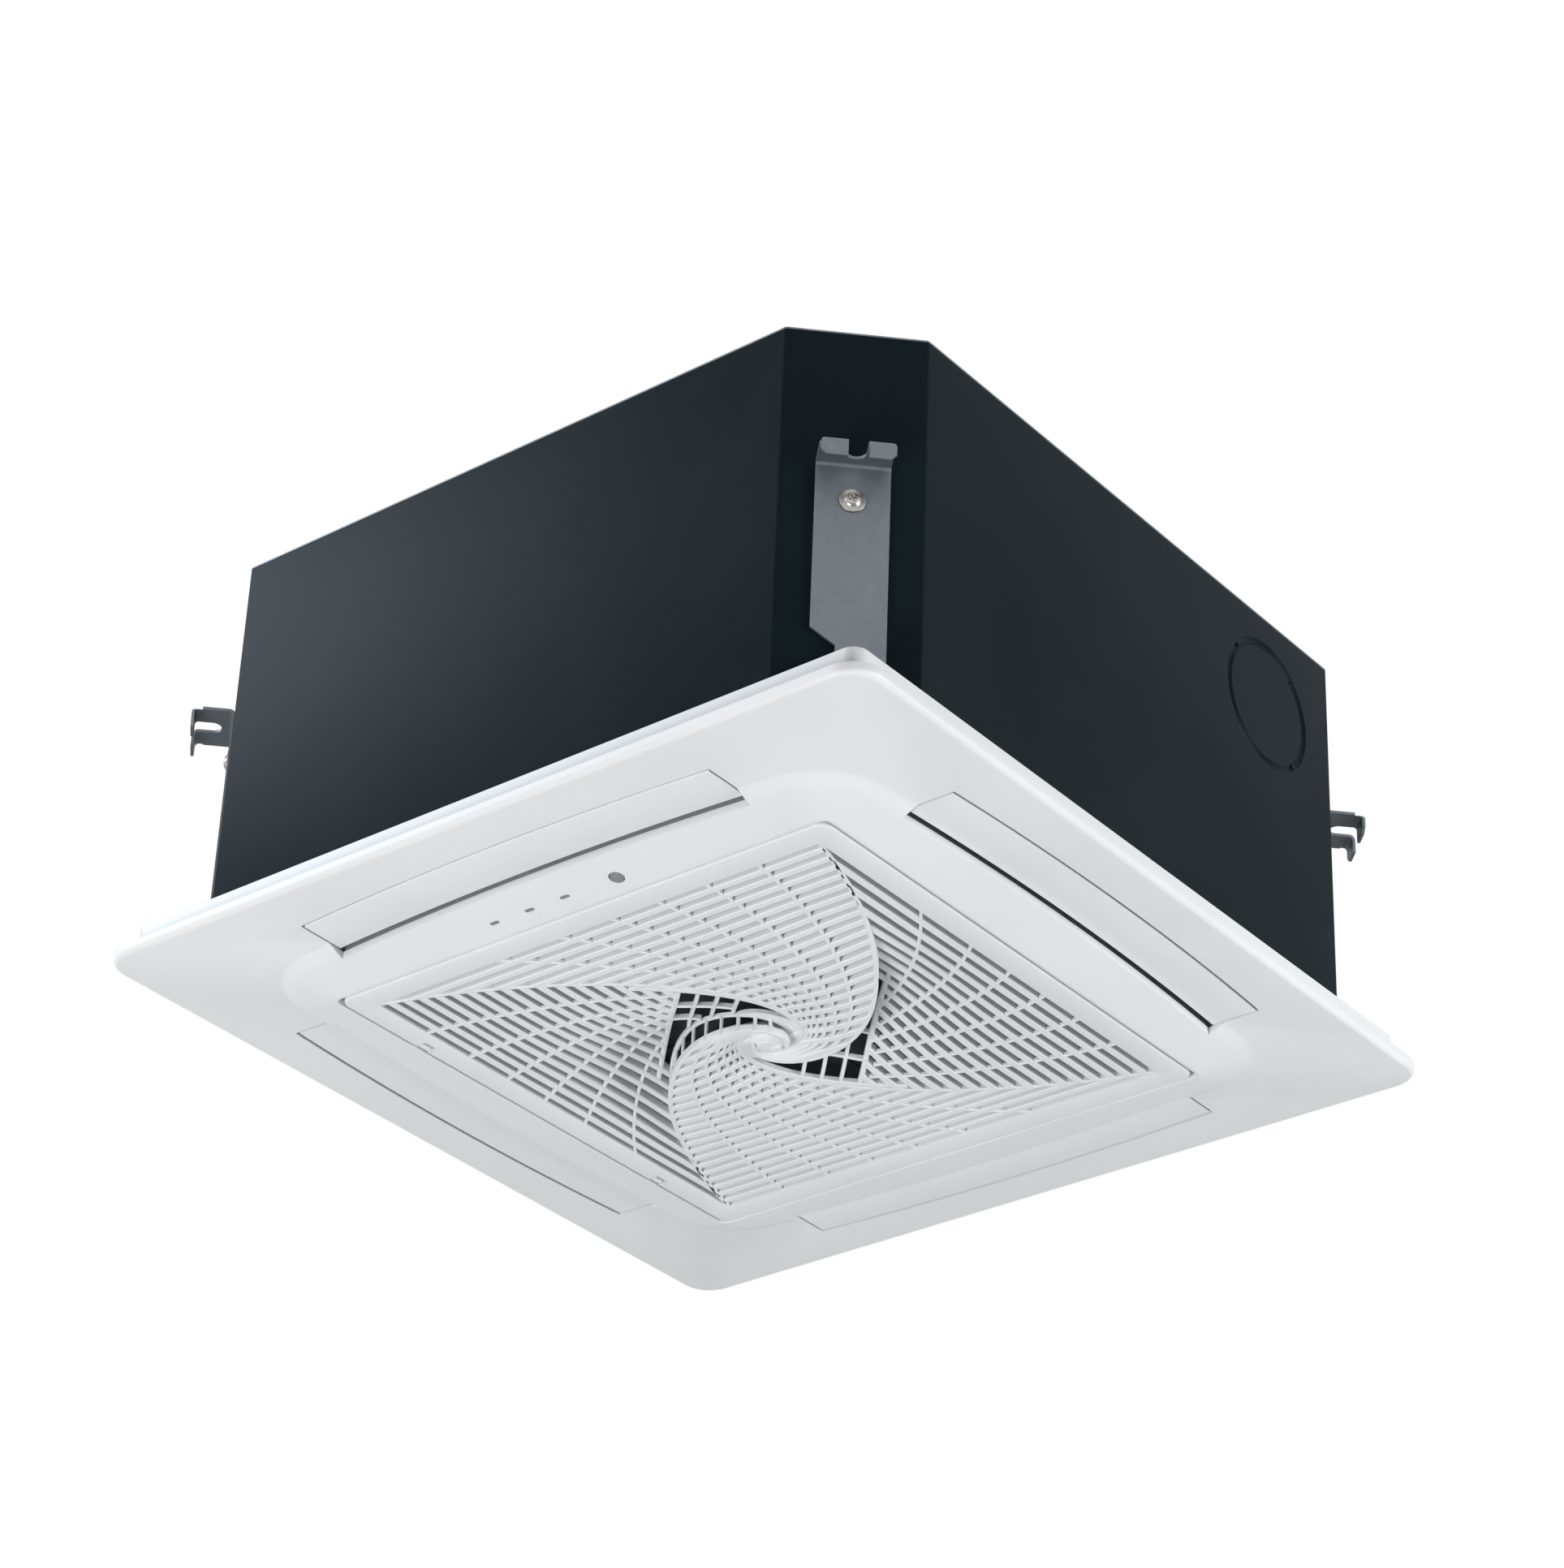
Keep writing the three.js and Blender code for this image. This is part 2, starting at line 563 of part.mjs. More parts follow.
// A bowed blade with a pivot arm at each end. Its pins lie on the pivot line.
const ARM_THICKNESS = 3;
const MOTOR_FACE = OUTLET_END + DUCT_WALL + SEAT;
const SOCKET_DEPTH = 6;
function louvreSolid() {
  const bladeBack = RIM_FACE + LOUVRE_THICKNESS;
  const blade = upright(bowedStrip(LOUVRE_INNER, LOUVRE_OUTER, LOUVRE_HALF), RIM_FACE, bladeBack);
  const arm = new THREE.Shape();
  arm.moveTo(-PIVOT_HALF - 12, RIM_FACE + LOUVRE_THICKNESS - 1);
  arm.lineTo(-PIVOT_HALF + 7, RIM_FACE + LOUVRE_THICKNESS - 1);
  arm.absarc(-PIVOT_HALF, PIVOT_Z, 2 * PIVOT_PIN_RADIUS, 0.1, Math.PI - 0.4);
  const inner = LOUVRE_HALF - ARM_THICKNESS;
  const rib = block(-inner, inner, -PIVOT_HALF - 1, -PIVOT_HALF + 0.6, bladeBack - 1, PIVOT_Z);
  const idleEnd = OUTLET_END + DUCT_WALL + 2;
  const driveEnd = MOTOR_FACE + SOCKET_DEPTH - 1;
  const pin = (from, to) =>
    rod(PIVOT_PIN_RADIUS, from, to, 6).rotateY(QUARTER).translate(0, -PIVOT_HALF, PIVOT_Z);
  return joined(
    blade,
    alongX(arm, -LOUVRE_HALF, -inner, 3),
    alongX(arm, inner, LOUVRE_HALF, 3),
    rib,
    pin(-idleEnd, -inner),
    pin(inner, driveEnd),
  );
}

const LOUVRE_MOTOR_RADIUS = 12;
const LOUVRE_MOTOR_OFFSET = 8;
const LOUVRE_MOTOR_LENGTH = 17;
function louvreMotorSolid() {
  const middleZ = PIVOT_Z + LOUVRE_MOTOR_OFFSET;
  const onPivot = (geometry, z) => geometry.rotateY(QUARTER).translate(0, -PIVOT_HALF, z);
  const earPlate = alongX(roundedBox(17, 3.5, 3), MOTOR_FACE, MOTOR_FACE + 1.5, 1);
  const ears = earPlate.translate(0, -PIVOT_HALF, middleZ);
  const can = onPivot(rod(LOUVRE_MOTOR_RADIUS, MOTOR_FACE, MOTOR_FACE + LOUVRE_MOTOR_LENGTH, 10), middleZ);
  const [start, end] = [MOTOR_FACE + 3, MOTOR_FACE + 13];
  const terminal = block(start, end, -PIVOT_HALF - 6, -PIVOT_HALF + 6, middleZ + 9, DUCT_TOP + 0.7);
  const bore = rod(PIVOT_PIN_RADIUS + PIVOT_CLEARANCE, MOTOR_FACE - 1, MOTOR_FACE + SOCKET_DEPTH, 8);
  const socket = onPivot(bore, PIVOT_Z);
  return cut(joined(ears, can, terminal), socket);
}

function louvres() {
  const louvre = louvreSolid();
  const motor = louvreMotorSolid();
  const names = ["front", "right", "back", "left"];
  return names.map((name, side) => {
    const group = new THREE.Group();
    group.rotation.z = side * QUARTER;
    group.add(piece(`louvre_${name}`, WHITE, louvre), piece(`louvre_motor_${name}`, GREY, motor));
    return group;
  });
}

// ---------------------------------------------------------------- intake grille

// The four sails meet along seams that start in the corners and wind into the hub. At a radius, a
// seam has turned by seamTurn past its corner. A line between two seams at a share u of the quarter
// between them is one of the curved spokes.
function seamTurn(radius) {
  const wound = Math.log(SEAM_START / radius);
  return SEAM_TURN * wound + SEAM_CURL * wound ** 3;
}

// On the -Y sail: the point of spoke u at a radius.
function spokePoint(u, radius) {
  const angle = -1.5 * QUARTER + u * QUARTER + seamTurn(radius);
  return new THREE.Vector2(radius * Math.cos(angle), radius * Math.sin(angle));
}

// Where spoke u crosses measure(point) = value; the measure falls or rises steadily along it.
function crossing(u, measure, value, farthest = SEAM_START * 1.2) {
  let [near, far] = [HUB_RADIUS, farthest];
  const rising = measure(spokePoint(u, far)) > measure(spokePoint(u, near));
  for (let step = 0; step < 40; step += 1) {
    const middle = (near + far) / 2;
    if (measure(spokePoint(u, middle)) > value === rising) far = middle;
    else near = middle;
  }
  return spokePoint(u, near);
}

const smooth = (low, high, value) => THREE.MathUtils.smoothstep(value, low, high);

// How far the proud and the deep edge of the sails stand off their flat face at a radius.
const swell = (radius) => smooth(0, PERFORATED_HALF - 70, PERFORATED_HALF - radius);
const proudEdge = (radius) => -SAIL_PROUD * swell(radius);
const deepEdge = (radius) => SAIL_DEEP * swell(radius) * smooth(HUB_RADIUS - 12, 60, radius);

// Height of the +Y and -X sails above their flat face. The +Y sail rises towards the seam of the
// +X +Y corner and the -X sail hangs towards the seam of the -X -Y corner.
function sailRise(x, y) {
  const radius = Math.max(Math.hypot(x, y), HUB_RADIUS);
  const angle = Math.atan2(y, x) - seamTurn(radius) - QUARTER / 2;
  const turns = (THREE.MathUtils.euclideanModulo(angle + 0.01, 4 * QUARTER) - 0.01) / QUARTER;
  if (turns > 1) return proudEdge(radius) * smooth(1, 2, turns);
  return deepEdge(radius) * (1 - smooth(0, 1, turns));
}

// Slots of the -Y sail as quadrilaterals: rows parallel to the outer edge, cut by the spokes.
const SEAM_MARGIN = 2.4;
function slotCells(startsAt) {
  const cells = [];
  const first = -PERFORATED_HALF + SLOT_PITCH * 0.6;
  for (let row = first; row < 4; row += SLOT_PITCH) {
    for (let cell = 0; cell < SPOKES; cell += 1) {
      const half = SLOT_WIDTH / 2 + cell * SLOT_TAPER;
      const [low, high] = [row - half, row + half];
      const inset = (end) => (end === 0 || end === SPOKES ? SEAM_MARGIN : SPOKE_WIDTH / 2);
      const left = (y) => Math.max(crossing(cell / SPOKES, (p) => p.y, y).x + inset(cell), startsAt(y));
      const right = (y) => crossing((cell + 1) / SPOKES, (p) => p.y, y).x - inset(cell + 1);
      const edge = PERFORATED_HALF - SEAM_MARGIN;
      const corners = [
        [Math.max(left(low), -edge), low],
        [Math.min(right(low), edge), low],
        [Math.min(right(high), edge), high],
        [Math.max(left(high), -edge), high],
      ];
      const shortest = Math.min(corners[1][0] - corners[0][0], corners[2][0] - corners[3][0]);
      if (shortest > SLOT_WIDTH * 0.8) cells.push(corners);
    }
  }
  return cells;
}

// Cells of the crescent window on the -Y sail: posts and rails run along the two diagonals.
function windowCells() {
  const outwards = (p) => (p.x - p.y) / Math.SQRT2;
  const along = (p) => (p.x + p.y) / Math.SQRT2;
  const corner = (p, q) => [(p + q) / Math.SQRT2, (q - p) / Math.SQRT2];
  const cells = [];
  for (let post = WINDOW_CHORD; post > WINDOW_POST_PITCH * 2; post -= WINDOW_POST_PITCH) {
    for (let rail = 1; rail < WINDOW_RAILS.length; rail += 1) {
      const side = WINDOW_BAR / 2 + rail * SLOT_TAPER;
      const edge = WINDOW_BAR / 2 + post * SLOT_TAPER * 0.1;
      const ends = [post - side, post - WINDOW_POST_PITCH + side];
      const trailing = ends.map((p) => along(crossing(0.06, outwards, p, WINDOW_TIP)));
      const leading = ends.map((p) => along(crossing(0.93, outwards, p)));
      const starts = trailing.map((q) => Math.max(q, WINDOW_RAILS[rail - 1] + edge));
      const stops = leading.map((q) => Math.min(q, WINDOW_RAILS[rail] - edge));
      const [near, far] = [stops[0] - starts[0], stops[1] - starts[1]];
      if (near < 4) continue;
      const cell = [corner(ends[0], starts[0]), corner(ends[0], stops[0])];
      if (far > 1) {
        cell.push(corner(ends[1], stops[1]), corner(ends[1], starts[1]));
      } else {
        const share = near / (near - far);
        const [p, q] = [ends, starts].map(([from, to]) => THREE.MathUtils.lerp(from, to, share));
        cell.push(corner(p, q));
      }
      cells.push(cell);
    }
  }
  return cells;
}

// One half of the swirl: the +Y sail and the -X sail that follows it, with a shared seam.
const SEAM_STEPS = 9;
function sailPair() {
  const spin = (quarters) => (point) => {
    const turned = new THREE.Vector2(...point).rotateAround(new THREE.Vector2(), quarters * QUARTER);
    return [turned.x, turned.y];
  };
  const inwards = (step) => SEAM_START * (HUB_RADIUS / SEAM_START) ** (step / SEAM_STEPS);
  const radii = turnedCopies(SEAM_STEPS + 1, inwards);
  // The pairs stop short of the seams between them, where a rib joins them.
  const beside = (side) => (radius) => spokePoint((side * 0.1) / (QUARTER * radius), radius).toArray();
  const ends = radii.map(beside(-1));
  const reach = PERFORATED_HALF + 2;
  const outline = [
    ...radii.map(beside(1)).map(spin(2)).reverse(),
    [reach, reach],
    [-reach, reach],
    [-reach, -reach],
    ...ends,
  ];
  const hubFrom = Math.atan2(ends.at(-1)[1], ends.at(-1)[0]);
  for (let step = 1; step < 6; step += 1) {
    const angle = hubFrom - (Math.PI * step) / 6;
    outline.push([HUB_RADIUS * Math.cos(angle), HUB_RADIUS * Math.sin(angle)]);
  }
  const shape = polygon(outline);
  const chord = WINDOW_CHORD * Math.SQRT2;
  const windowEdge = (y) => (y < -chord ? -Infinity : chord + y + SPOKE_WIDTH);
  const deepCells = [...slotCells(windowEdge), ...windowCells()].map((cell) => cell.map(spin(2)));
  const proudCells = slotCells(() => -Infinity).map((cell) => cell.map(spin(3)));
  shape.holes = [...deepCells, ...proudCells].map(polygon);
  const plate = upright(shape, SAIL_FACE, SAIL_FACE + SAIL_THICKNESS);
  const position = plate.getAttribute("position");
  for (let i = 0; i < position.count; i += 1) {
    position.setZ(i, position.getZ(i) + sailRise(position.getX(i), position.getY(i)));
  }
  return plate;
}

// The rib along the seam between the two pairs: it closes the step between a proud sail and a deep
// one, and opens into posts near the hub, where the step is high.
const RIB_WIDTH = 2.4;
const RIB_OPENS = 118;
function seamRib() {
  const levels = (radius) => [
    SAIL_FACE + proudEdge(radius) - 0.3,
    SAIL_FACE + SAIL_THICKNESS + deepEdge(radius) + 0.3,
  ];
  const section = (radius, bottom, top) => {
    const middle = spokePoint(0, radius);
    const ahead = spokePoint(0, radius - 0.5).sub(middle).normalize();
    const side = new THREE.Vector2(-ahead.y, ahead.x).multiplyScalar(RIB_WIDTH / 2);
    const corner = (sign, z) => new THREE.Vector3(middle.x + sign * side.x, middle.y + sign * side.y, z);
    return [corner(-1, bottom), corner(1, bottom), corner(1, top), corner(-1, top)];
  };
  const stations = (from, to, count) => turnedCopies(count + 1, (i) => from * (to / from) ** (i / count));
  const outer = stations(SEAM_START + 1, RIB_OPENS, 3).map((r) => section(r, ...levels(r)));
  const inner = stations(RIB_OPENS, HUB_RADIUS - 1, 6);
  const proud = inner.map((r) => section(r, levels(r)[0], levels(r)[0] + SAIL_THICKNESS));
  const deep = inner.map((r) => section(r, levels(r)[1] - SAIL_THICKNESS, levels(r)[1]));
  const posts = [];
  for (let radius = RIB_OPENS - 8; radius > HUB_RADIUS + 4; radius -= 20) {
    const [bottom, top] = levels(radius);
    const { x, y } = spokePoint(0, radius);
    posts.push(rod(RIB_WIDTH / 2, bottom + 0.5, top - 0.5, 4, x, y));
  }
  return joined(loft(outer), loft(proud), loft(deep), ...posts);
}

function grilleBorder() {
  const inner = PERFORATED_HALF;
  const wall = GRILLE_WALL_SIDE / 2;
  const wallTop = RIM_FACE + 5.5;
  const face = squareFrame([
    { half: GRILLE_HALF, corner: GRILLE_CORNER, height: GRILLE_BACK },
    { half: GRILLE_HALF, corner: GRILLE_CORNER, height: GRILLE_FACE + GRILLE_EDGE },
    { half: GRILLE_HALF - GRILLE_EDGE, corner: GRILLE_CORNER - GRILLE_EDGE, height: GRILLE_FACE },
    { half: inner, corner: 1, height: GRILLE_FACE },
    { half: inner, corner: 1, height: GRILLE_BACK },
  ]);
  const filterSeat = squareFrame([
    { half: wall, corner: 5, height: GRILLE_BACK - 1 },
    { half: wall, corner: 5, height: wallTop },
    { half: wall - GRILLE_WALL, corner: 3, height: wallTop },
    { half: wall - GRILLE_WALL, corner: 3, height: wallTop - 1.5 },
    { half: wall - 5, corner: 1, height: wallTop - 1.5 },
    { half: wall - 5, corner: 1, height: wallTop - 3.5 },
    { half: wall - GRILLE_WALL, corner: 3, height: wallTop - 5 },
    { half: wall - GRILLE_WALL, corner: 3, height: GRILLE_BACK - 1 },
  ]);
  return solidOf(face).add(solidOf(filterSeat));
}

function intakeGrille() {
  const half = geometryOf(solidOf(sailPair()).add(seamRib()));
  let grille = grilleBorder();
  grille = grille.add(solidOf(half)).add(solidOf(half.clone().rotateZ(Math.PI)));
  const hubTop = SAIL_FACE + SAIL_THICKNESS + 2;
  const hub = turned(
    [
      [0, SAIL_FACE - SAIL_PROUD],
      [HUB_RADIUS * 0.6, SAIL_FACE - SAIL_PROUD],
      [HUB_RADIUS + 1.5, SAIL_FACE - SAIL_PROUD * 0.6],
      [HUB_RADIUS + 1.5, hubTop + 2],
      [HUB_RADIUS - 4, hubTop + 2],
      [HUB_RADIUS - 6, hubTop - SAIL_THICKNESS - 2],
      [0, hubTop - SAIL_THICKNESS - 2],
    ],
    10,
  );
  grille = grille.add(solidOf(hub));
  const notch = HINGE_LUG_WIDTH / 2 + 1.5;
  for (const x of [-HINGE_SPREAD / 2, HINGE_SPREAD / 2]) {
    const [x0, x1] = [x - notch, x + notch];
    grille = cut(grille, block(x0, x1, HINGE_Y - 6, GRILLE_HALF + 1, GRILLE_FACE - 1, GRILLE_BACK + 1));
    const bar = rod(HINGE_PIN_RADIUS, x - notch - 1, x + notch + 1, 6).rotateY(QUARTER);
    grille = grille.add(solidOf(bar.translate(0, HINGE_Y, HINGE_Z)));
  }
  return piece("intake_grille", WHITE, grille);
}

const FILTER_HALF = GRILLE_WALL_SIDE / 2 - GRILLE_WALL - 0.6;
function airFilter() {
  const bottom = RIM_FACE + 4 + SEAT;
  const top = bottom + 6.5;
  const inside = FILTER_HALF - 6;
  const frame = ringShape(roundedBox(FILTER_HALF, FILTER_HALF, 3), roundedBox(inside, inside, 1));
  const sheet = upright(roundedBox(FILTER_HALF - 3, FILTER_HALF - 3, 2), bottom + 3, bottom + 4, 1);
  const reach = FILTER_HALF - 3;
  const bars = [
    block(-1.5, 1.5, -reach, reach, bottom + 2, top - 1),
    block(-reach, reach, -1.5, 1.5, bottom + 2, top - 1),
  ];
  return piece("air_filter", MESH, joined(upright(frame, bottom, top, 1), sheet, ...bars));
}

const LATCH_TOP = 14;
function latch(side, x) {
  const seat = LEDGE_TOP + SEAT;
  const body = solidOf(block(x - 8, x + 8, LATCH_Y - 5.6, LATCH_Y + 3.2 - SEAT, seat, LATCH_TOP));
  const housing = cut(body, rod(PLUNGER_RADIUS + PIVOT_CLEARANCE, seat - 1, LATCH_TOP - 4, 8, x, LATCH_Y));
  const tip = GRILLE_BACK + SEAT;
  const plunger = rod(PLUNGER_RADIUS, tip, LATCH_TOP - 8, 8, x, LATCH_Y);
  return [
    piece(`latch_housing_${side}`, GREY, housing),
    piece(`latch_plunger_${side}`, BLACK, plunger),
  ];
}

function panelScrews() {
  return screwPlaces.map(([x, y], index) => {
    const under = LEDGE_TOP - SKIN - SEAT;
    const shank = rod(SCREW_SHANK, under - 1, PAN_BOTTOM + 9, 10, x, y);
    const head = rod(3.7, under - 2.6, under, 12, x, y);
    return piece(`panel_screw_${index + 1}`, STEEL, joined(shank, head));
  });
}

// ---------------------------------------------------------------- body

function octagon(inset) {
  return cutSquare(BODY_HALF - inset, BODY_DIAGONAL - inset);
}

// A hole through a side of the body: its axis runs along the side's normal.
function sideHole(axis, radius, from, to, along, height, sides = 12) {
  const hole = rod(radius, from, to, sides);
  if (axis === "x") return hole.rotateY(QUARTER).translate(0, along, height);
  return hole.rotateX(-QUARTER).translate(along, 0, height);
}

const PIPE_OPENING = { x0: 150, x1: 224, z0: 100, z1: 172 };
const DRAIN_OUTSIDE = DRAIN_BORE + 5;
const GLAND_Y = 60;
const GLAND_Z = 120;
const GLAND_RADIUS = 8;
const BRACKET_SCREW = 2;

function bracketTurn(index) {
  return QUARTER / 2 + index * QUARTER;
}

function casingShell() {
  const walls = upright(ringShape(octagon(0), octagon(SHEET)), BODY_BOTTOM, LID_BOTTOM - SEAT);
  const lip = upright(ringShape(octagon(0), octagon(12)), BODY_BOTTOM, BODY_BOTTOM + SHEET);
  const inside = BODY_HALF - 5;
  const outside = BODY_HALF + 5;
  const { x0, x1, z0, z1 } = PIPE_OPENING;
  const holes = [
    sideHole("y", KNOCKOUT_RADIUS, -outside, -inside, KNOCKOUT_X, KNOCKOUT_Z, 20),
    block(x0 + 5, x1 - 5, inside, outside, z0 + 5, z1 - 5),
    sideHole("x", DRAIN_OUTSIDE + 1, inside, outside, DRAIN_Y, DRAIN_Z),
    sideHole("x", GLAND_RADIUS + SEAT, inside, outside, GLAND_Y, GLAND_Z),
    ...turnedCopies(4, (index) =>
      sideHole("x", BRACKET_SCREW + SEAT, BODY_DIAGONAL - 4, BODY_DIAGONAL + 4, 0, HANGER_SCREW_Z, 8).rotateZ(
        bracketTurn(index),
      ),
    ),
  ];
  return piece("casing_shell", DARK, cut(joined(walls, lip), ...holes));
}

function topPanel() {
  const sheet = upright(octagon(0), LID_BOTTOM, BODY_TOP);
  const swage = (inner, outer) =>
    turnedRing(
      [
        [inner, BODY_TOP - 0.5],
        [outer, BODY_TOP - 0.5],
        [outer, BODY_TOP],
        [outer - 2, BODY_TOP + SWAGE_HEIGHT],
        [inner + 2, BODY_TOP + SWAGE_HEIGHT],
        [inner, BODY_TOP],
      ],
      18,
    );
  const bar = block(120, 260, -7, 7, BODY_TOP - 0.5, BODY_TOP + SWAGE_HEIGHT);
  const bars = turnedCopies(8, (index) => bar.clone().rotateZ((index * QUARTER) / 2));
  return piece("top_panel", ZINC, joined(sheet, swage(88, 104), ...bars));
}

const MOTOR_OPENING = 66;
function casingLiner() {
  const bottom = PAN_TOP + SEAT;
  const top = LID_BOTTOM - SEAT;
  const clear = SHEET + SEAT;
  const wall = clear + LINER_WALL;
  const whole = solidOf(upright(octagon(clear), bottom, top));
  const bucket = cut(whole, upright(octagon(wall), bottom - 1, top - LINER_TOP));
  const inside = BODY_HALF - wall - 1;
  const outside = BODY_HALF;
  const { x0, x1, z0, z1 } = PIPE_OPENING;
  const liner = cut(
    bucket,
    rod(MOTOR_OPENING, top - LINER_TOP - 1, top + 1, 14),
    sideHole("y", KNOCKOUT_RADIUS + 5, -outside, -(LINER_OUTSIDE - 3), KNOCKOUT_X, KNOCKOUT_Z, 20),
    block(x0, x1, inside, outside, z0, z1),
    sideHole("x", DRAIN_OUTSIDE + 2, inside, outside, DRAIN_Y, DRAIN_Z),
    sideHole("x", GLAND_RADIUS + 4, inside, outside, GLAND_Y, GLAND_Z),
  );
  return piece("casing_liner", FOAM, liner);
}

const PAN_SLOT_INNER = DUCT_INNER + 6;
const PAN_SLOT_OUTER = DUCT_OUTER - 1;
const GUTTER_INNER = INTAKE_HALF + 5;
const GUTTER_OUTER = COIL_HALF + 4;
const PAN_INNER_TOP = MOUTH_Z - FAN_SHEET - SEAT;
const COIL_BOTTOM = PAN_TOP - 8;
function drainPan() {
  const outer = octagon(SHEET + SEAT);
  outer.holes.push(roundedBox(INTAKE_HALF, INTAKE_HALF, GRILLE_CORNER));
  const gutter = roundedBox(GUTTER_OUTER, GUTTER_OUTER, COIL_BEND + 4);
  gutter.holes.push(roundedBox(GUTTER_INNER, GUTTER_INNER, COIL_BEND - COIL_DEPTH));
  const step = roundedBox(GUTTER_INNER + 1, GUTTER_INNER + 1, COIL_BEND - COIL_DEPTH + 1);
  let pan = cut(
    solidOf(upright(outer, PAN_BOTTOM, PAN_TOP, 2)),
    upright(gutter, GUTTER_FLOOR, PAN_TOP + 1, 2),
    upright(step, PAN_INNER_TOP, PAN_TOP + 1, 2),
  );
  const slot = block(-OUTLET_END, OUTLET_END, -PAN_SLOT_OUTER, -PAN_SLOT_INNER, PAN_BOTTOM - 1, PAN_TOP + 1);
  for (let side = 0; side < 4; side += 1) {
    pan = cut(pan, slot.clone().rotateZ(side * QUARTER));
  }
  for (const [x, y] of screwPlaces) {
    pan = cut(pan, rod(SCREW_SHANK + SEAT, PAN_BOTTOM - 1, PAN_BOTTOM + 10, 8, x, y));
  }
  const middle = (GUTTER_INNER + GUTTER_OUTER) / 2;
  const pad = block(-15, 15, -middle - 8, -middle + 8, GUTTER_FLOOR - 1, COIL_BOTTOM - SEAT);
  for (let side = 0; side < 4; side += 1) {
    pan = pan.add(solidOf(pad.clone().rotateZ(side * QUARTER)));
  }
  return piece("drain_pan", FOAM, pan);
}

function knockoutCover() {
  const edge = KNOCKOUT_RADIUS - 0.8;
  const cover = turned(
    [
      [0, 0],
      [edge, 0],
      [edge, SHEET + SEAT],
      [KNOCKOUT_RADIUS + 4, SHEET + SEAT],
      [KNOCKOUT_RADIUS + 4, SHEET + SEAT + 2],
      [0, SHEET + SEAT + 2],
    ],
    20,
  );
  return piece("knockout_cover", DARK, cover.rotateX(-QUARTER).translate(KNOCKOUT_X, -BODY_HALF, KNOCKOUT_Z));
}

// Hanger bracket on a cut corner whose face looks along +X: a plate, a tab with an open slot for
// the hanging rod, and a lip turned down at the end of each prong.
function hangerBracketSolid() {
  const near = BODY_DIAGONAL + SEAT;
  const far = near + HANGER_REACH;
  const half = HANGER_WIDTH / 2;
  const notch = -HANGER_WIDTH / 6;
  const under = HANGER_TOP - HANGER_SHEET;
  const plate = polygon([
    [notch, HANGER_BOTTOM],
    [half, HANGER_BOTTOM],
    [half, HANGER_TOP],
    [-half, HANGER_TOP],
    [-half, HANGER_BOTTOM + 34],
    [notch, HANGER_BOTTOM + 22],
  ]);
  const tab = polygon([
    [near, -half],
    [far, -half],
    [far, -HANGER_SLOT / 2],
    [near + 14, -HANGER_SLOT / 2],
    [near + 10, -HANGER_SLOT / 5],
    [near + 10, HANGER_SLOT / 5],
    [near + 14, HANGER_SLOT / 2],
    [far, HANGER_SLOT / 2],
    [far, half],
    [near, half],
  ]);
  const lip = (sign) => {
    const [inner, outer] = [HANGER_SLOT / 2, half].map((y) => sign * y);
    const shape = polygon([
      [inner, HANGER_TOP],
      [inner, HANGER_TOP - HANGER_LIP],
      [outer - sign * 4, HANGER_TOP - HANGER_LIP],
      [outer, HANGER_TOP - HANGER_LIP + 4],
      [outer, HANGER_TOP],
    ]);
    return alongX(shape, far - HANGER_SHEET, far);
  };
  const whole = joined(
    alongX(plate, near, near + HANGER_SHEET),
    upright(tab, under, HANGER_TOP),
    lip(-1),
    lip(1),
  );
  const [from, to] = [near - 1, near + HANGER_SHEET + 1];
  return cut(whole, sideHole("x", BRACKET_SCREW + SEAT, from, to, 0, HANGER_SCREW_Z, 8));
}

function bracketScrewSolid() {
  const seat = BODY_DIAGONAL + 2 * SEAT + HANGER_SHEET;
  const head = turned(
    [
      [0, 0],
      [5, 0],
      [5, 1.2],
      [3.6, 2.8],
      [0, 3.2],
    ],
    8,
  );
  const shank = rod(BRACKET_SCREW, BODY_DIAGONAL - SHEET - seat, 1, 6);
  const drive = block(-3, 3, -0.6, 0.6, 1.8, 5);
  const screw = cut(joined(head, shank), drive);
  return geometryOf(screw).rotateY(QUARTER).translate(seat, 0, HANGER_SCREW_Z);
}

function hangers() {
  const bracket = hangerBracketSolid();
  const screw = bracketScrewSolid();
  const names = ["back_right", "back_left", "front_left", "front_right"];
  return names.map((name, index) => {
    const hanger = new THREE.Group();
    hanger.rotation.z = bracketTurn(index);
    hanger.add(piece(`hanger_bracket_${name}`, ZINC, bracket), piece(`bracket_screw_${name}`, STEEL, screw));
    return hanger;
  });
}

// ---------------------------------------------------------------- coil and pipes

// A round pipe along straight runs with rounded bends.
function pipe(points, radius, bend, sides = 8) {
  const path = new THREE.CurvePath();
  const corners = points.map(([x, y, z]) => new THREE.Vector3(x, y, z));
  let from = corners[0];
  for (let i = 1; i < corners.length - 1; i += 1) {
    const before = corners[i].clone().add(corners[i - 1].clone().sub(corners[i]).setLength(bend));
    const after = corners[i].clone().add(corners[i + 1].clone().sub(corners[i]).setLength(bend));
    path.add(new THREE.LineCurve3(from, before));
    path.add(new THREE.QuadraticBezierCurve3(before, corners[i], after));
    from = after;
  }
  path.add(new THREE.LineCurve3(from, corners.at(-1)));
  const steps = Math.round(path.getLength() / (bend * 1.8));
  const options = { extrudePath: path, steps, curveSegments: sides, bevelEnabled: false };
  return new THREE.ExtrudeGeometry(disc(radius), options);
}

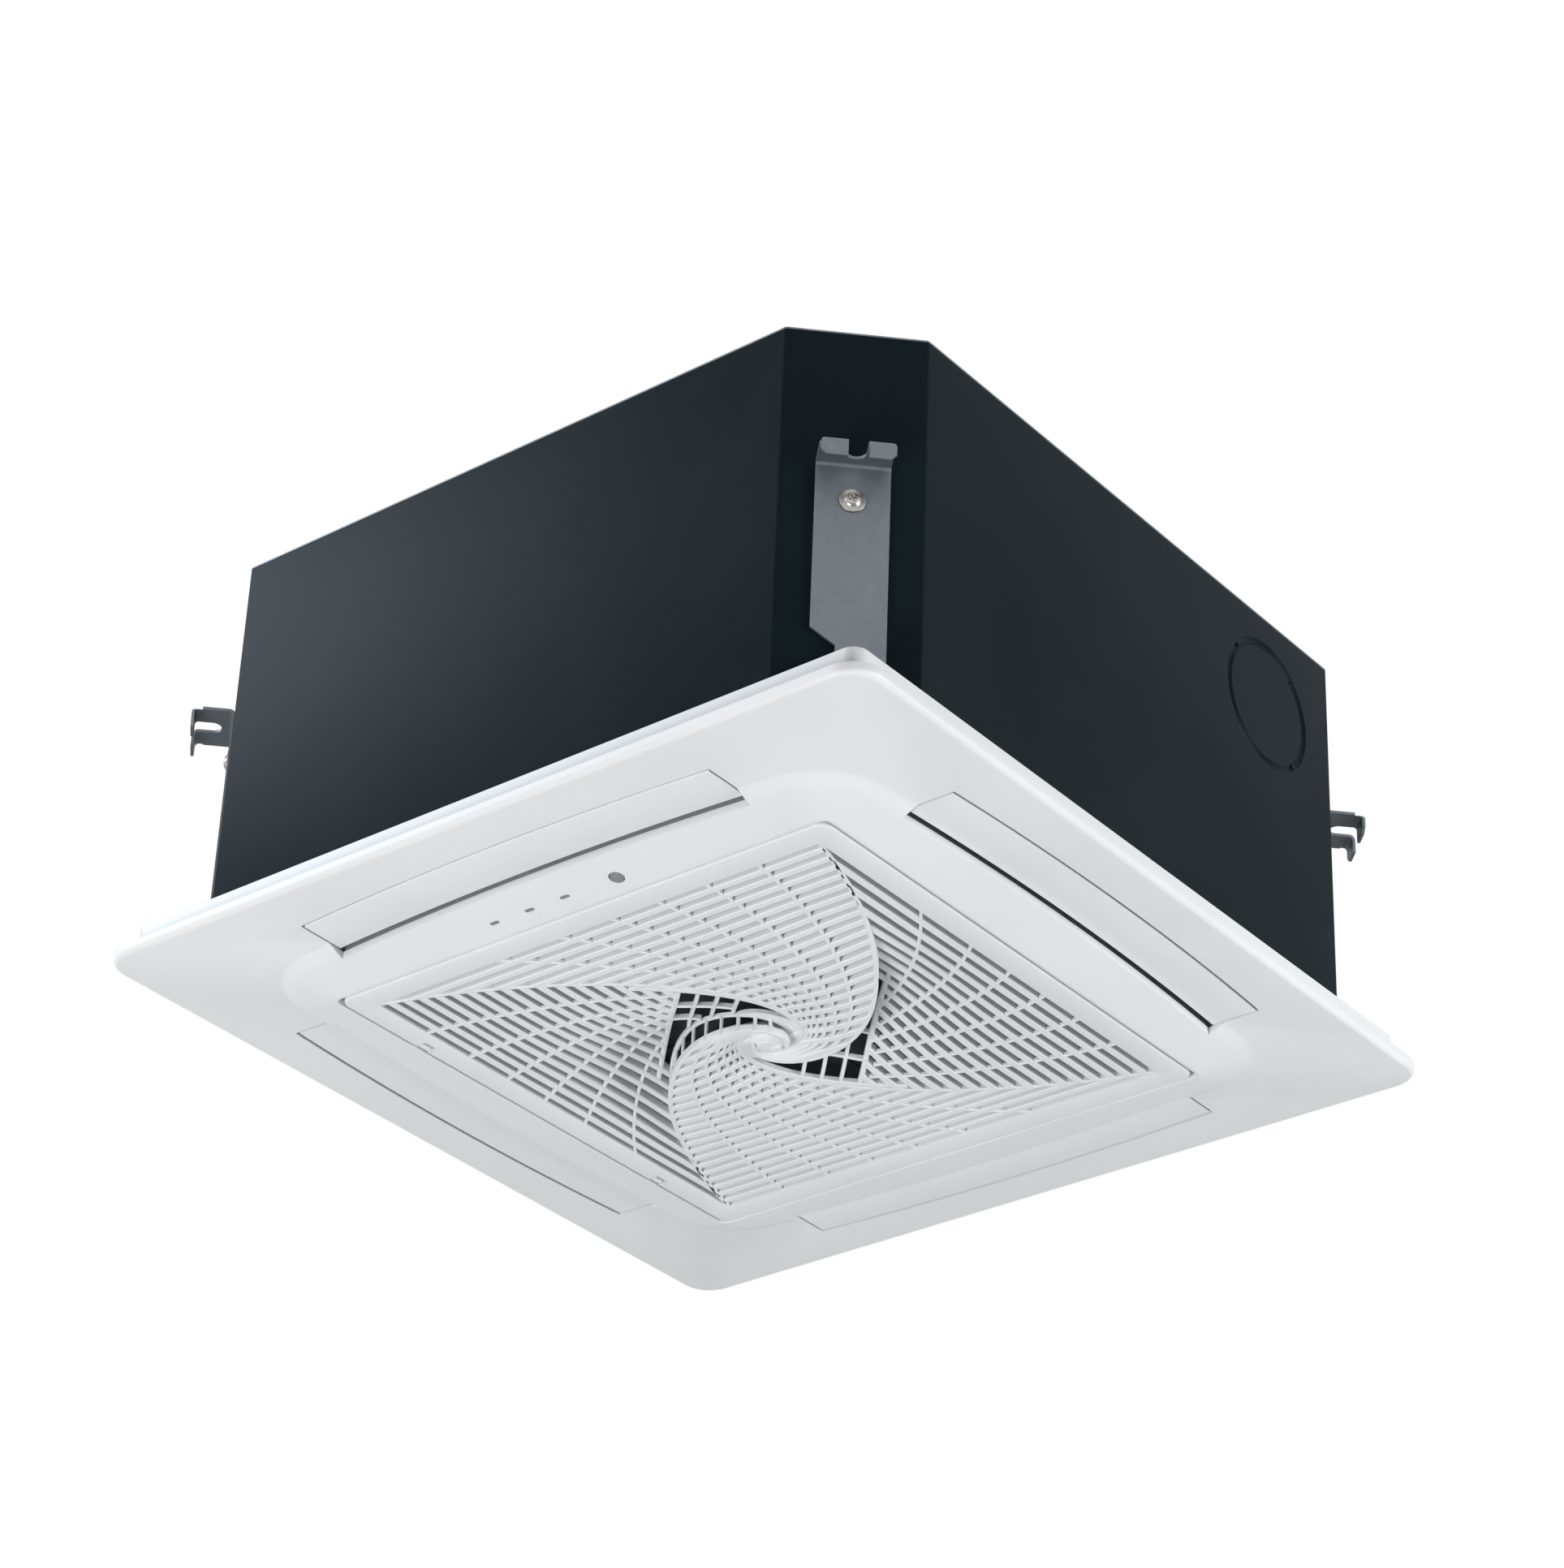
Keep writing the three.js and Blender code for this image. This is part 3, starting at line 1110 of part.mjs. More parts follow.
const COIL_TOP = LID_BOTTOM - LINER_TOP - 4;
const TUBE_PITCH = 21;
const TUBE_RADIUS = 3.5;
function coil() {
  const half = COIL_HALF;
  const inside = half - COIL_DEPTH;
  const innerBend = COIL_BEND - COIL_DEPTH;
  const ring = ringShape(roundedBox(half, half, COIL_BEND), roundedBox(inside, inside, innerBend));
  const gap = block(COIL_GAP_START, half + 1, COIL_GAP_START, half + 1, COIL_BOTTOM - 1, COIL_TOP + 1);
  return piece("coil", FINS, cut(solidOf(upright(ring, COIL_BOTTOM, COIL_TOP, 3)), gap));
}

// Tube plate on the end of the +Y leg, with its return bends; the other leg's is its mirror image.
function tubePlate(name, mirrored) {
  const x = COIL_GAP_START + SEAT;
  const middle = COIL_HALF - COIL_DEPTH / 2;
  const plate = block(x, x + 2, middle - COIL_DEPTH / 2, middle + COIL_DEPTH / 2, COIL_BOTTOM, COIL_TOP);
  const bends = [];
  const inner = middle - 7;
  for (let z = COIL_BOTTOM + 12; z + TUBE_PITCH < COIL_TOP; z += 2 * TUBE_PITCH) {
    const runs = [
      [x + 1, inner, z],
      [x + 14, inner, z],
      [x + 14, inner, z + TUBE_PITCH],
      [x + 1, inner, z + TUBE_PITCH],
    ];
    bends.push(pipe(runs, TUBE_RADIUS, 8, 3));
  }
  const mesh = piece(name, COPPER, joined(plate, ...bends));
  if (mirrored) {
    const swap = new THREE.Matrix4().makeBasis(
      new THREE.Vector3(0, 1, 0),
      new THREE.Vector3(1, 0, 0),
      new THREE.Vector3(0, 0, 1),
    );
    mesh.geometry = mesh.geometry.toNonIndexed().applyMatrix4(swap);
    const position = mesh.geometry.getAttribute("position");
    for (let i = 0; i < position.count; i += 3) {
      const [a, b] = [i + 1, i + 2].map((k) => new THREE.Vector3().fromBufferAttribute(position, k));
      position.setXYZ(i + 1, b.x, b.y, b.z);
      position.setXYZ(i + 2, a.x, a.y, a.z);
    }
    mesh.geometry.computeVertexNormals();
  }
  return mesh;
}

function refrigerantPipe(name, radius, at, startZ) {
  const plateFace = COIL_GAP_START + 2 * SEAT + 2;
  const y = COIL_HALF - 7;
  const runs = [
    [plateFace, y, startZ],
    [at.x, y, startZ],
    [at.x, y + 30, startZ],
    [at.x, y + 30, at.y],
    [at.x, BODY_HALF + PIPE_REACH, at.y],
  ];
  return piece(name, COPPER, pipe(runs, radius, 12, 4));
}

function flareNut(name, radius, at) {
  const size = radius * 1.5 + 4;
  const hex = new THREE.Shape();
  for (let i = 0; i < 6; i += 1) {
    const angle = (i * Math.PI) / 3;
    const [x, z] = [at.x + size * Math.cos(angle), at.y + size * Math.sin(angle)];
    if (i === 0) hex.moveTo(x, z);
    else hex.lineTo(x, z);
  }
  hex.holes.push(disc(radius + 2 * SEAT, at.x, at.y));
  const end = BODY_HALF + PIPE_REACH + 3;
  return piece(name, BRASS, alongY(hex, end - size * 1.6, end, 4));
}

function pipeCover() {
  const { x0, x1, z0, z1 } = PIPE_OPENING;
  const shape = roundedBox((x1 - x0) / 2, (z1 - z0) / 2, 4);
  const middle = new THREE.Vector2((x0 + x1) / 2, (z0 + z1) / 2);
  const place = BODY_HALF + SEAT;
  shape.holes.push(disc(GAS_PIPE_RADIUS + 1.5, GAS_PIPE.x - middle.x, GAS_PIPE.y - middle.y));
  shape.holes.push(disc(LIQUID_PIPE_RADIUS + 1.5, LIQUID_PIPE.x - middle.x, LIQUID_PIPE.y - middle.y));
  const sheet = alongY(shape, place, place + SHEET, 3).translate(middle.x, 0, middle.y);
  return piece("pipe_cover", ZINC, solidOf(sheet));
}

// ---------------------------------------------------------------- fan

const SHAFT_BORE = SHAFT_RADIUS + SEAT;
const FAN_EYE = HUB_BOTTOM + 10; // height of the web that joins the hub to the back plate's cone
function bladeShape() {
  const inner = FAN_RADIUS * 0.57;
  const outer = FAN_RADIUS - 3;
  const points = [];
  const sweep = 0.55;
  const curve = (share, offset) => {
    const radius = THREE.MathUtils.lerp(inner, outer, share);
    const angle = -sweep * share + (offset / radius) * (1 - Math.abs(2 * share - 1) * 0.5);
    return [radius * Math.cos(angle), radius * Math.sin(angle)];
  };
  for (let step = 0; step <= 2; step += 1) points.push(curve(step / 2, -3));
  for (let step = 2; step >= 0; step -= 1) points.push(curve(step / 2, 3));
  return polygon(points);
}

function turboFan() {
  const top = FAN_TOP;
  const web = top - FAN_SHEET;
  const back = turnedRing(
    [
      [SHAFT_BORE, HUB_BOTTOM],
      [12, HUB_BOTTOM],
      [12, FAN_EYE],
      [30, FAN_EYE],
      [88, web],
      [FAN_RADIUS, web],
      [FAN_RADIUS, top],
      [86, top],
      [29, FAN_EYE + FAN_SHEET],
      [12, FAN_EYE + FAN_SHEET],
      [12, FAN_EYE + 16],
      [SHAFT_BORE, FAN_EYE + 16],
    ],
    16,
  );
  const shroudTop = FAN_INLET_Z + 21;
  const shroud = turnedRing(
    [
      [FAN_INLET_RADIUS, FAN_INLET_Z],
      [FAN_INLET_RADIUS + FAN_SHEET, FAN_INLET_Z],
      [FAN_INLET_RADIUS + 9, FAN_INLET_Z + 11],
      [FAN_RADIUS, shroudTop - FAN_SHEET],
      [FAN_RADIUS, shroudTop],
      [FAN_INLET_RADIUS + 7, FAN_INLET_Z + 13],
    ],
    18,
  );
  const blade = upright(bladeShape(), shroudTop - 3, web + 1);
  let fan = solidOf(back).add(solidOf(shroud));
  for (let index = 0; index < FAN_BLADES; index += 1) {
    fan = fan.add(solidOf(blade.clone().rotateZ((index * 2 * Math.PI) / FAN_BLADES)));
  }
  return piece("turbo_fan", GREY, fan);
}

function fanNut() {
  const hex = turnedCopies(6, (i) => [9 * Math.cos((i * Math.PI) / 3), 9 * Math.sin((i * Math.PI) / 3)]);
  const shape = polygon(hex);
  shape.holes.push(disc(SHAFT_BORE));
  return piece("fan_nut", STEEL, upright(shape, HUB_BOTTOM - SEAT - 8, HUB_BOTTOM - SEAT, 5));
}

function fanMotor() {
  const top = MOTOR_BOTTOM + 58;
  const can = turned(
    [
      [0, MOTOR_BOTTOM],
      [MOTOR_RADIUS - 12, MOTOR_BOTTOM],
      [MOTOR_RADIUS, MOTOR_BOTTOM + 12],
      [MOTOR_RADIUS, top],
      [0, top],
    ],
    16,
  );
  const collar = rod(14, MOTOR_BOTTOM - 6, MOTOR_BOTTOM + 1, 8);
  const bore = rod(SHAFT_BORE, MOTOR_BOTTOM - 7, MOTOR_BOTTOM + 30, 12);
  return piece("fan_motor", BLACK, cut(joined(can, collar), bore));
}

function motorMount() {
  const seat = MOTOR_BOTTOM + 58 + SEAT;
  const top = LID_BOTTOM - SEAT;
  const feet = turnedCopies(4, (index) => {
    const angle = bracketTurn(index);
    return rod(8, seat, top - 2, 6, 36 * Math.cos(angle), 36 * Math.sin(angle));
  });
  return piece("motor_mount", ZINC, joined(rod(60, top - 3, top, 16), ...feet));
}

function motorShaft() {
  return piece("motor_shaft", STEEL, rod(SHAFT_RADIUS, HUB_BOTTOM - 12, MOTOR_BOTTOM + 28, 12));
}

// The inlet ring: a square plate on the drain pan's inner wall, flared up to a round throat that
// enters the fan's inlet.
function bellMouth() {
  const half = GUTTER_INNER - 1;
  const bottom = MOUTH_Z - FAN_SHEET;
  const plate = ringShape(roundedBox(half, half, COIL_BEND - COIL_DEPTH), disc(MOUTH_RADIUS + 8));
  const rise = FAN_INLET_Z + 4 - MOUTH_Z;
  const curve = (share, offset) => {
    const angle = share * QUARTER;
    const reach = MOUTH_RADIUS - THROAT_RADIUS;
    return [
      THROAT_RADIUS + reach * (1 - Math.sin(angle)) + offset * Math.sin(angle),
      bottom + (rise + FAN_SHEET) * (1 - Math.cos(angle)) + offset * Math.cos(angle),
    ];
  };
  const rim = MOUTH_RADIUS + 13;
  const profile = [[rim, bottom + 0.4]];
  for (let step = 0; step <= 3; step += 1) profile.push(curve(step / 3, 0.4));
  for (let step = 3; step >= 0; step -= 1) profile.push(curve(step / 3, FAN_SHEET - 0.4));
  profile.push([rim, bottom + FAN_SHEET - 0.4]);
  const flare = turnedRing(profile, 20).rotateZ(0.05);
  return piece("bell_mouth", GREY, joined(upright(plate, bottom, MOUTH_Z, 5), flare));
}

// ---------------------------------------------------------------- drain pump and float switch

const IMPELLER_RADIUS = 8;
const PUMP_FLOOR = GUTTER_FLOOR + 2;
function drainPump() {
  const chamber = IMPELLER_RADIUS + 1;
  const top = PUMP_FLOOR + 84;
  const foot = rod(chamber + 2, PUMP_FLOOR, PUMP_FLOOR + 40, 10, PUMP_AT, PUMP_AT);
  const can = rod(18, PUMP_FLOOR + 40 - 1, top, 10, PUMP_AT, PUMP_AT);
  const spout = sideHole("x", 6, PUMP_AT, PUMP_AT + 20, PUMP_AT, PUMP_FLOOR + 28, 8);
  const arm = block(PUMP_AT - 7, PUMP_AT + 17, PUMP_AT - 38, PUMP_AT, top - 3, top - 0.5);
  return piece(
    "drain_pump",
    BLACK,
    cut(
      joined(foot, can, spout, arm),
      rod(chamber, PUMP_FLOOR - 1, PUMP_FLOOR + 12, 10, PUMP_AT, PUMP_AT),
      rod(2.4, PUMP_FLOOR, PUMP_FLOOR + 50, 8, PUMP_AT, PUMP_AT),
      sideHole("x", 4, PUMP_AT, PUMP_AT + 21, PUMP_AT, PUMP_FLOOR + 28, 8),
    ),
  );
}

function pumpImpeller() {
  const base = PUMP_FLOOR + 3;
  const stem = rod(2, base, PUMP_FLOOR + 48, 10, PUMP_AT, PUMP_AT);
  const reach = IMPELLER_RADIUS - 0.5;
  const vanes = [
    block(-reach, reach, -0.8, 0.8, base, base + 7),
    block(-0.8, 0.8, -reach, reach, base, base + 7),
  ].map((vane) => vane.translate(PUMP_AT, PUMP_AT, 0));
  return piece("pump_impeller", WHITE, joined(stem, ...vanes));
}

function drainRiser() {
  const z = PUMP_FLOOR + 28;
  const start = PUMP_AT + 20 + SEAT;
  const runs = [
    [start, PUMP_AT, z],
    [start + 20, PUMP_AT, z],
    [start + 20, PUMP_AT, DRAIN_Z - 16],
    [start + 20, DRAIN_Y, DRAIN_Z],
    [LINER_INSIDE + 6, DRAIN_Y, DRAIN_Z],
  ];
  return piece("drain_riser", GREY, pipe(runs, 7, 14, 4));
}

function drainOutlet() {
  const face = BODY_HALF + SEAT;
  const outlet = turnedRing(
    [
      [DRAIN_BORE, LINER_INSIDE + 3],
      [DRAIN_OUTSIDE, LINER_INSIDE + 3],
      [DRAIN_OUTSIDE, face],
      [DRAIN_OUTSIDE + 6, face],
      [DRAIN_OUTSIDE + 6, face + 2],
      [DRAIN_OUTSIDE, face + 2],
      [DRAIN_OUTSIDE, face + 28],
      [DRAIN_BORE, face + 28],
    ],
    10,
  );
  return piece("drain_outlet", BLACK, outlet.rotateY(QUARTER).translate(0, DRAIN_Y, DRAIN_Z));
}

const FLOAT_AT = new THREE.Vector2(PUMP_AT + 6, PUMP_AT - 28);
function floatSwitch() {
  const top = PUMP_FLOOR + 84 - 3 - SEAT;
  const { x, y } = FLOAT_AT;
  const stem = rod(2.2, PUMP_FLOOR, top, 10, x, y);
  const stop = rod(4.2, PUMP_FLOOR, PUMP_FLOOR + 2, 12, x, y);
  const head = rod(8, top - 14, top, 14, x, y);
  return piece("float_switch", BLACK, joined(stem, stop, head));
}

function float() {
  const { x, y } = FLOAT_AT;
  const bottom = PUMP_FLOOR + 2 + SEAT;
  const shape = ringShape(disc(8.5, x, y), disc(2.8, x, y));
  return piece("float", FOAM, upright(shape, bottom, bottom + 14, 4));
}

// ---------------------------------------------------------------- control box

const BOX = { x0: -110, x1: 110, y0: -188, y1: -150, z0: 13, z1: MOUTH_Z - FAN_SHEET - SEAT };
function controlBox() {
  const { x0, x1, y0, y1, z0, z1 } = BOX;
  const box = solidOf(block(x0, x1, y0, y1, z0, z1));
  const inside = block(x0 + SHEET, x1 - SHEET, y0 + SHEET, y1 - SHEET, z0 - 1, z1 - SHEET);
  const entry = sideHole("x", 6, x1 - 4, x1 + 4, (y0 + y1) / 2, (z0 + z1) / 2, 12);
  return piece("control_box", ZINC, cut(box, inside, entry));
}

function controlBoard() {
  const { x0, x1, y0, y1, z1 } = BOX;
  const top = z1 - SHEET - SEAT;
  const inset = SHEET + 2;
  const posts = [x0 + 12, x1 - 12].map((x) => rod(3, top - 6, top, 8, x, (y0 + y1) / 2));
  const board = block(x0 + inset, x1 - inset, y0 + inset, y1 - inset, top - 7.5, top - 5.5);
  const tall = block(-90, -62, y0 + 8, y1 - 10, top - 20, top - 7);
  const flat = block(-40, 8, y0 + 9, y1 - 9, top - 12, top - 7);
  const cans = [30, 48, 66].map((x) => rod(6, top - 19, top - 7, 8, x, y1 - 15));
  return piece("control_board", BOARD, joined(board, tall, flat, ...posts, ...cans));
}

function controlCover() {
  const { x0, x1, y0, y1, z0 } = BOX;
  const top = z0 - SEAT;
  return piece("control_box_cover", ZINC, block(x0 - 1, x1 + 1, y0 - 1, y1 + 1, top - SHEET, top));
}

function cableGland() {
  const face = BODY_HALF + SEAT;
  const gland = turnedRing(
    [
      [4, BODY_HALF - 8],
      [GLAND_RADIUS, BODY_HALF - 8],
      [GLAND_RADIUS, face],
      [GLAND_RADIUS + 4, face],
      [GLAND_RADIUS + 4, face + 5],
      [GLAND_RADIUS + 1, face + 14],
      [4, face + 14],
    ],
    12,
  );
  return piece("cable_gland", BLACK, gland.rotateY(QUARTER).translate(0, GLAND_Y, GLAND_Z));
}

function roomThermistor() {
  const top = MOUTH_Z - FAN_SHEET - SEAT;
  const [x, y] = [-150, BOX.y1 - 20];
  const clip = block(x - 5, x + 5, y - 4, y + 4, top - 14, top);
  const probe = rod(3, x - 14, x + 14, 10).rotateY(QUARTER).translate(0, y, top - 14);
  return piece("room_thermistor", BLACK, joined(clip, probe));
}

// ---------------------------------------------------------------- whole unit

const unit = new THREE.Group();
unit.add(
  panelFrame(),
  receiverWindow(),
  indicatorLightGuide(),
  ...louvres(),
  intakeGrille(),
  airFilter(),
  ...latch("left", -LATCH_SPREAD / 2),
  ...latch("right", LATCH_SPREAD / 2),
  ...panelScrews(),
  casingShell(),
  topPanel(),
  casingLiner(),
  drainPan(),
  knockoutCover(),
  ...hangers(),
  coil(),
  tubePlate("tube_plate_back", false),
  tubePlate("tube_plate_right", true),
  refrigerantPipe("gas_pipe", GAS_PIPE_RADIUS, GAS_PIPE, 92),
  refrigerantPipe("liquid_pipe", LIQUID_PIPE_RADIUS, LIQUID_PIPE, 66),
  flareNut("gas_pipe_nut", GAS_PIPE_RADIUS, GAS_PIPE),
  flareNut("liquid_pipe_nut", LIQUID_PIPE_RADIUS, LIQUID_PIPE),
  pipeCover(),
  bellMouth(),
  turboFan(),
  fanNut(),
  motorShaft(),
  fanMotor(),
  motorMount(),
  drainPump(),
  pumpImpeller(),
  drainRiser(),
  drainOutlet(),
  floatSwitch(),
  float(),
  controlBox(),
  controlBoard(),
  controlCover(),
  cableGland(),
  roomThermistor(),
);

export default unit;
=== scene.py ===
# %% [markdown]
# # Dressing a ceiling cassette air conditioner
# The object hangs in a ceiling: a dark sheet-metal body above, and a white square panel below
# with four air outlets round a swirl grille. Its frame of solids and joints is already made and
# fixed. Here each visible piece gets its finish, and the pieces whose edges and fine parts show
# most are built again with more faces, exactly where their solids are.

import json
import math

import bmesh
import bpy
from mathutils import Matrix, Vector


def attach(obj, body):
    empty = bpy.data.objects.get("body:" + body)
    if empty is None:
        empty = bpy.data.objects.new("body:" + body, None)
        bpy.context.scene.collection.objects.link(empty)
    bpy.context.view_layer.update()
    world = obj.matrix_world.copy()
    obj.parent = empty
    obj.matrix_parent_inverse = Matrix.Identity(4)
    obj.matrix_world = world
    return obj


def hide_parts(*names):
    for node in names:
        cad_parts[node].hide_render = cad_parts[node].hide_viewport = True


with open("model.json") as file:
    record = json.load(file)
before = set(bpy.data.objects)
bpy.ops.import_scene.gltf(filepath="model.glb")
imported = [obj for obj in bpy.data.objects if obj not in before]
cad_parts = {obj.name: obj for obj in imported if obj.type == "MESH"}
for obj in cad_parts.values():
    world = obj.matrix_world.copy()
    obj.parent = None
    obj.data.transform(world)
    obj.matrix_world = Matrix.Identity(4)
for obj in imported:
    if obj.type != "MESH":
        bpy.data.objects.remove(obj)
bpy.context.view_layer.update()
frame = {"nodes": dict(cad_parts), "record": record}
nodes = frame["nodes"]

# %% [markdown]
# ## The camera
# The picture looks up at the panel from below one corner, from nearly three metres away with a
# long lens. The place and the three directions were found by matching the corners of the panel
# and the body, so they are written here as plain numbers.

# %% Camera
EYE = (-1.9309, -1.5892, -1.3413)
TO_THE_RIGHT = (0.6183762, -0.78510129, 0.03502616)
UPWARDS = (-0.42605788, -0.29746209, 0.8543951)
BACKWARDS = (-0.66036774, -0.54326077, -0.51844207)
LENS_LENGTH = 99.14
SENSOR_WIDTH = 36

scene = bpy.context.scene
camera = bpy.data.objects.new("camera", bpy.data.cameras.new("camera"))
camera.data.lens = LENS_LENGTH
camera.data.sensor_width = SENSOR_WIDTH
facing = Matrix((TO_THE_RIGHT, UPWARDS, BACKWARDS)).transposed().to_4x4()
camera.matrix_world = Matrix.Translation(EYE) @ facing
scene.collection.objects.link(camera)
bpy.context.scene.camera = camera
print("camera", round(camera.location.length, 2), "m from the panel's middle")

# %% [markdown]
# ## A white studio
# The backdrop is pure white, but that much light from everywhere would wash the dark sheet out.
# A Light Path node gives each ray its own sky: the camera, mirrors and glass see white, and
# surfaces are lit by a dimmer grey. Soft lamps then do the modelling.

# %% Sky
WHITE = (1, 1, 1, 1)
COOL_WHITE = (0.97, 0.985, 1, 1)
SKY_LIGHT = 0.2


def add_node(tree, kind, **sockets):
    """A new node with some input sockets set; an underscore stands for a space in a name."""
    made = tree.nodes.new("ShaderNode" + kind)
    for socket, value in sockets.items():
        made.inputs[socket.replace("_", " ")].default_value = value
    return made


scene.view_settings.view_transform = "Standard"
scene.world = bpy.data.worlds.new("studio_sky")
scene.world.use_nodes = True
sky = scene.world.node_tree
sky.nodes.clear()
seen = add_node(sky, "Background", Color=WHITE)
lighting = add_node(sky, "Background", Color=COOL_WHITE, Strength=SKY_LIGHT)
rays = add_node(sky, "LightPath")
sees_white = rays.outputs["Is Camera Ray"]
for kind in ("Is Glossy Ray", "Is Transmission Ray"):
    either = add_node(sky, "Math")
    either.operation = "MAXIMUM"
    sky.links.new(sees_white, either.inputs[0])
    sky.links.new(rays.outputs[kind], either.inputs[1])
    sees_white = either.outputs[0]
choose = add_node(sky, "MixShader")
sky.links.new(sees_white, choose.inputs["Fac"])
sky.links.new(lighting.outputs[0], choose.inputs[1])
sky.links.new(seen.outputs[0], choose.inputs[2])
sky.links.new(choose.outputs[0], add_node(sky, "OutputWorld").inputs["Surface"])
print("white behind the object, and a light of", SKY_LIGHT, "on it")

# %% [markdown]
# ## Soft lamps
# The key softbox stands low on the left. Its light reaches into the slots that run across it and
# leaves the others dark. One on the right, almost level with the panel, lights the near edge of
# the rim. One high on the left is seen by the paint of the body as a soft sheen, strongest at its
# left end, and a last one lights the top, which only other views show.

# %% Lamps
def softbox(name, place, size, watts, aim=(0, 0, 0), tint=(1, 1, 1)):
    """A square lamp at a place, turned to a point."""
    lamp = bpy.data.objects.new(name, bpy.data.lights.new(name, "AREA"))
    lamp.data.shape = "SQUARE"
    lamp.data.size = size
    lamp.data.energy = watts
    lamp.data.color = tint
    lamp.location = place
    lamp.rotation_mode = "QUATERNION"
    lamp.rotation_quaternion = (Vector(aim) - Vector(place)).to_track_quat("-Z", "Y")
    lamp.visible_camera = False
    scene.collection.objects.link(lamp)
    print(name, watts, "W")


softbox("lamp_key", (-2.9, 0.6, -2.75), 2.0, 129)
softbox("lamp_fill", (0.9, -2.9, -0.35), 1.4, 70, tint=(0.95, 0.985, 1))
softbox("lamp_sheen", (-1.95, 2.3, 1.6), 1.1, 55, aim=(-0.3, 0.2, 0.15), tint=(0.79, 0.89, 1))
softbox("lamp_above", (0.9, 0.8, 3.0), 2.0, 42, aim=(0, 0, 0.2))

# %% [markdown]
# ## The floor
# The unit hangs from a ceiling, so the floor is far below: lower than the camera, which looks up.
# A plain pale plane is enough, and it keeps the soft shadow of the unit.

# %% Floor
FLOOR_Z = -3.2
FLOOR_HALF = 9
CORNER_SIGNS = ((-1, -1), (1, -1), (1, 1), (-1, 1))
floor_points = [(x * FLOOR_HALF, y * FLOOR_HALF, FLOOR_Z) for x, y in CORNER_SIGNS]
floor_mesh = bpy.data.meshes.new("floor")
floor_mesh.from_pydata(floor_points, [], [(0, 1, 2, 3)])
floor = bpy.data.objects.new("floor", floor_mesh)
scene.collection.objects.link(floor)
print("floor", -FLOOR_Z, "m below the ceiling")

# %% [markdown]
# ## How a finish is made
# Every finish is one Principled shader. What makes plastic look moulded and metal look rolled is
# small: the colour drifts a little, the gloss varies, and a fine grain bumps the surface. One
# helper makes that for all of them. It reads object coordinates, in metres, so the grain has its
# real size and stays put when a piece moves. A Bevel node rounds sharp edges as light sees them.

# %% Helper for finishes
finishes = {}


def join(tree, source, output, target, socket):
    """Leads an output of one node into a socket of another, in place of what led there."""
    tree.links.new(source.outputs[output], target.inputs[socket])


def finish(name, low, high, patch=0.05, rough=(0.4, 0.5), grain=0.0006, depth=0.00002,
           metallic=0.0, specular=0.5, edge=0.0004, stops=(0.35, 0.65)):
    """A finish whose colour drifts from low to high over patches, with a fine grain."""
    made = bpy.data.materials.new(name)
    made.use_nodes = True
    tree = made.node_tree
    shader = tree.nodes["Principled BSDF"]
    shader.inputs["Metallic"].default_value = metallic
    shader.inputs["Specular IOR Level"].default_value = specular
    where = add_node(tree, "TexCoord")
    where.name = "where"
    drift = add_node(tree, "TexNoise", Scale=1 / patch, Detail=3)
    colours = add_node(tree, "ValToRGB")
    colours.name = "colours"
    for stop, position, colour in zip(colours.color_ramp.elements, stops, (low, high)):
        stop.position = position
        stop.color = (*colour, 1)
    gloss = add_node(tree, "MapRange", To_Min=rough[0], To_Max=rough[1])
    fine = add_node(tree, "TexNoise", Scale=1 / grain)
    rounded = add_node(tree, "Bevel", Radius=edge)
    rounded.samples = 4
    bump = add_node(tree, "Bump", Distance=depth)
    join(tree, where, "Object", drift, "Vector")
    join(tree, where, "Object", fine, "Vector")
    join(tree, drift, "Fac", colours, "Fac")
    join(tree, drift, "Fac", gloss, "Value")
    join(tree, fine, "Fac", bump, "Height")
    join(tree, rounded, "Normal", bump, "Normal")
    join(tree, colours, "Color", shader, "Base Color")
    join(tree, gloss, "Result", shader, "Roughness")
    join(tree, bump, "Normal", shader, "Normal")
    finishes[name] = made
    return made


# %% [markdown]
# ## Plastics
# The panel, louvres and grille are one satin white plastic with a spark-eroded grain of about
# half a millimetre. The fan, the bell mouth and the air ducts are mid grey. The pump, the drain
# socket and the cable gland are black. The lenses are smoked, and glossier than the rest.

# %% Plastic finishes
finish("white_plastic", (0.77, 0.775, 0.775), (0.8, 0.8, 0.8), patch=0.12, rough=(0.4, 0.47),
       depth=0.00001)
finish("grey_plastic", (0.26, 0.27, 0.28), (0.31, 0.32, 0.33), patch=0.03, rough=(0.42, 0.55),
       grain=0.0008)
finish("black_plastic", (0.012, 0.012, 0.013), (0.02, 0.02, 0.022), patch=0.01, rough=(0.35, 0.5))
finish("dark_lens", (0.2, 0.205, 0.21), (0.26, 0.265, 0.27), patch=0.004, rough=(0.12, 0.2),
       grain=0.002, depth=0.000002, specular=0.6)
print(len(finishes), "plastics")

# %% [markdown]
# ## Sheet metals
# The body is pre-painted sheet: nearly black with a blue tint, a weak sheen and a faint orange
# peel. The brackets and the lid are galvanised: crystals of zinc, called spangle, catch the light
# one by one. A Voronoi texture makes such cells, and each cell's own colour sets its brightness.

# %% Metal finishes
SPANGLE_SIZE = 0.006


def spangle(made, size):
    """Zinc crystals: flat cells of a Voronoi texture change the shade from one to the next."""
    tree = made.node_tree
    crystals = add_node(tree, "TexVoronoi", Scale=1 / size)
    join(tree, tree.nodes["where"], "Object", crystals, "Vector")
    join(tree, crystals, "Color", tree.nodes["colours"], "Fac")


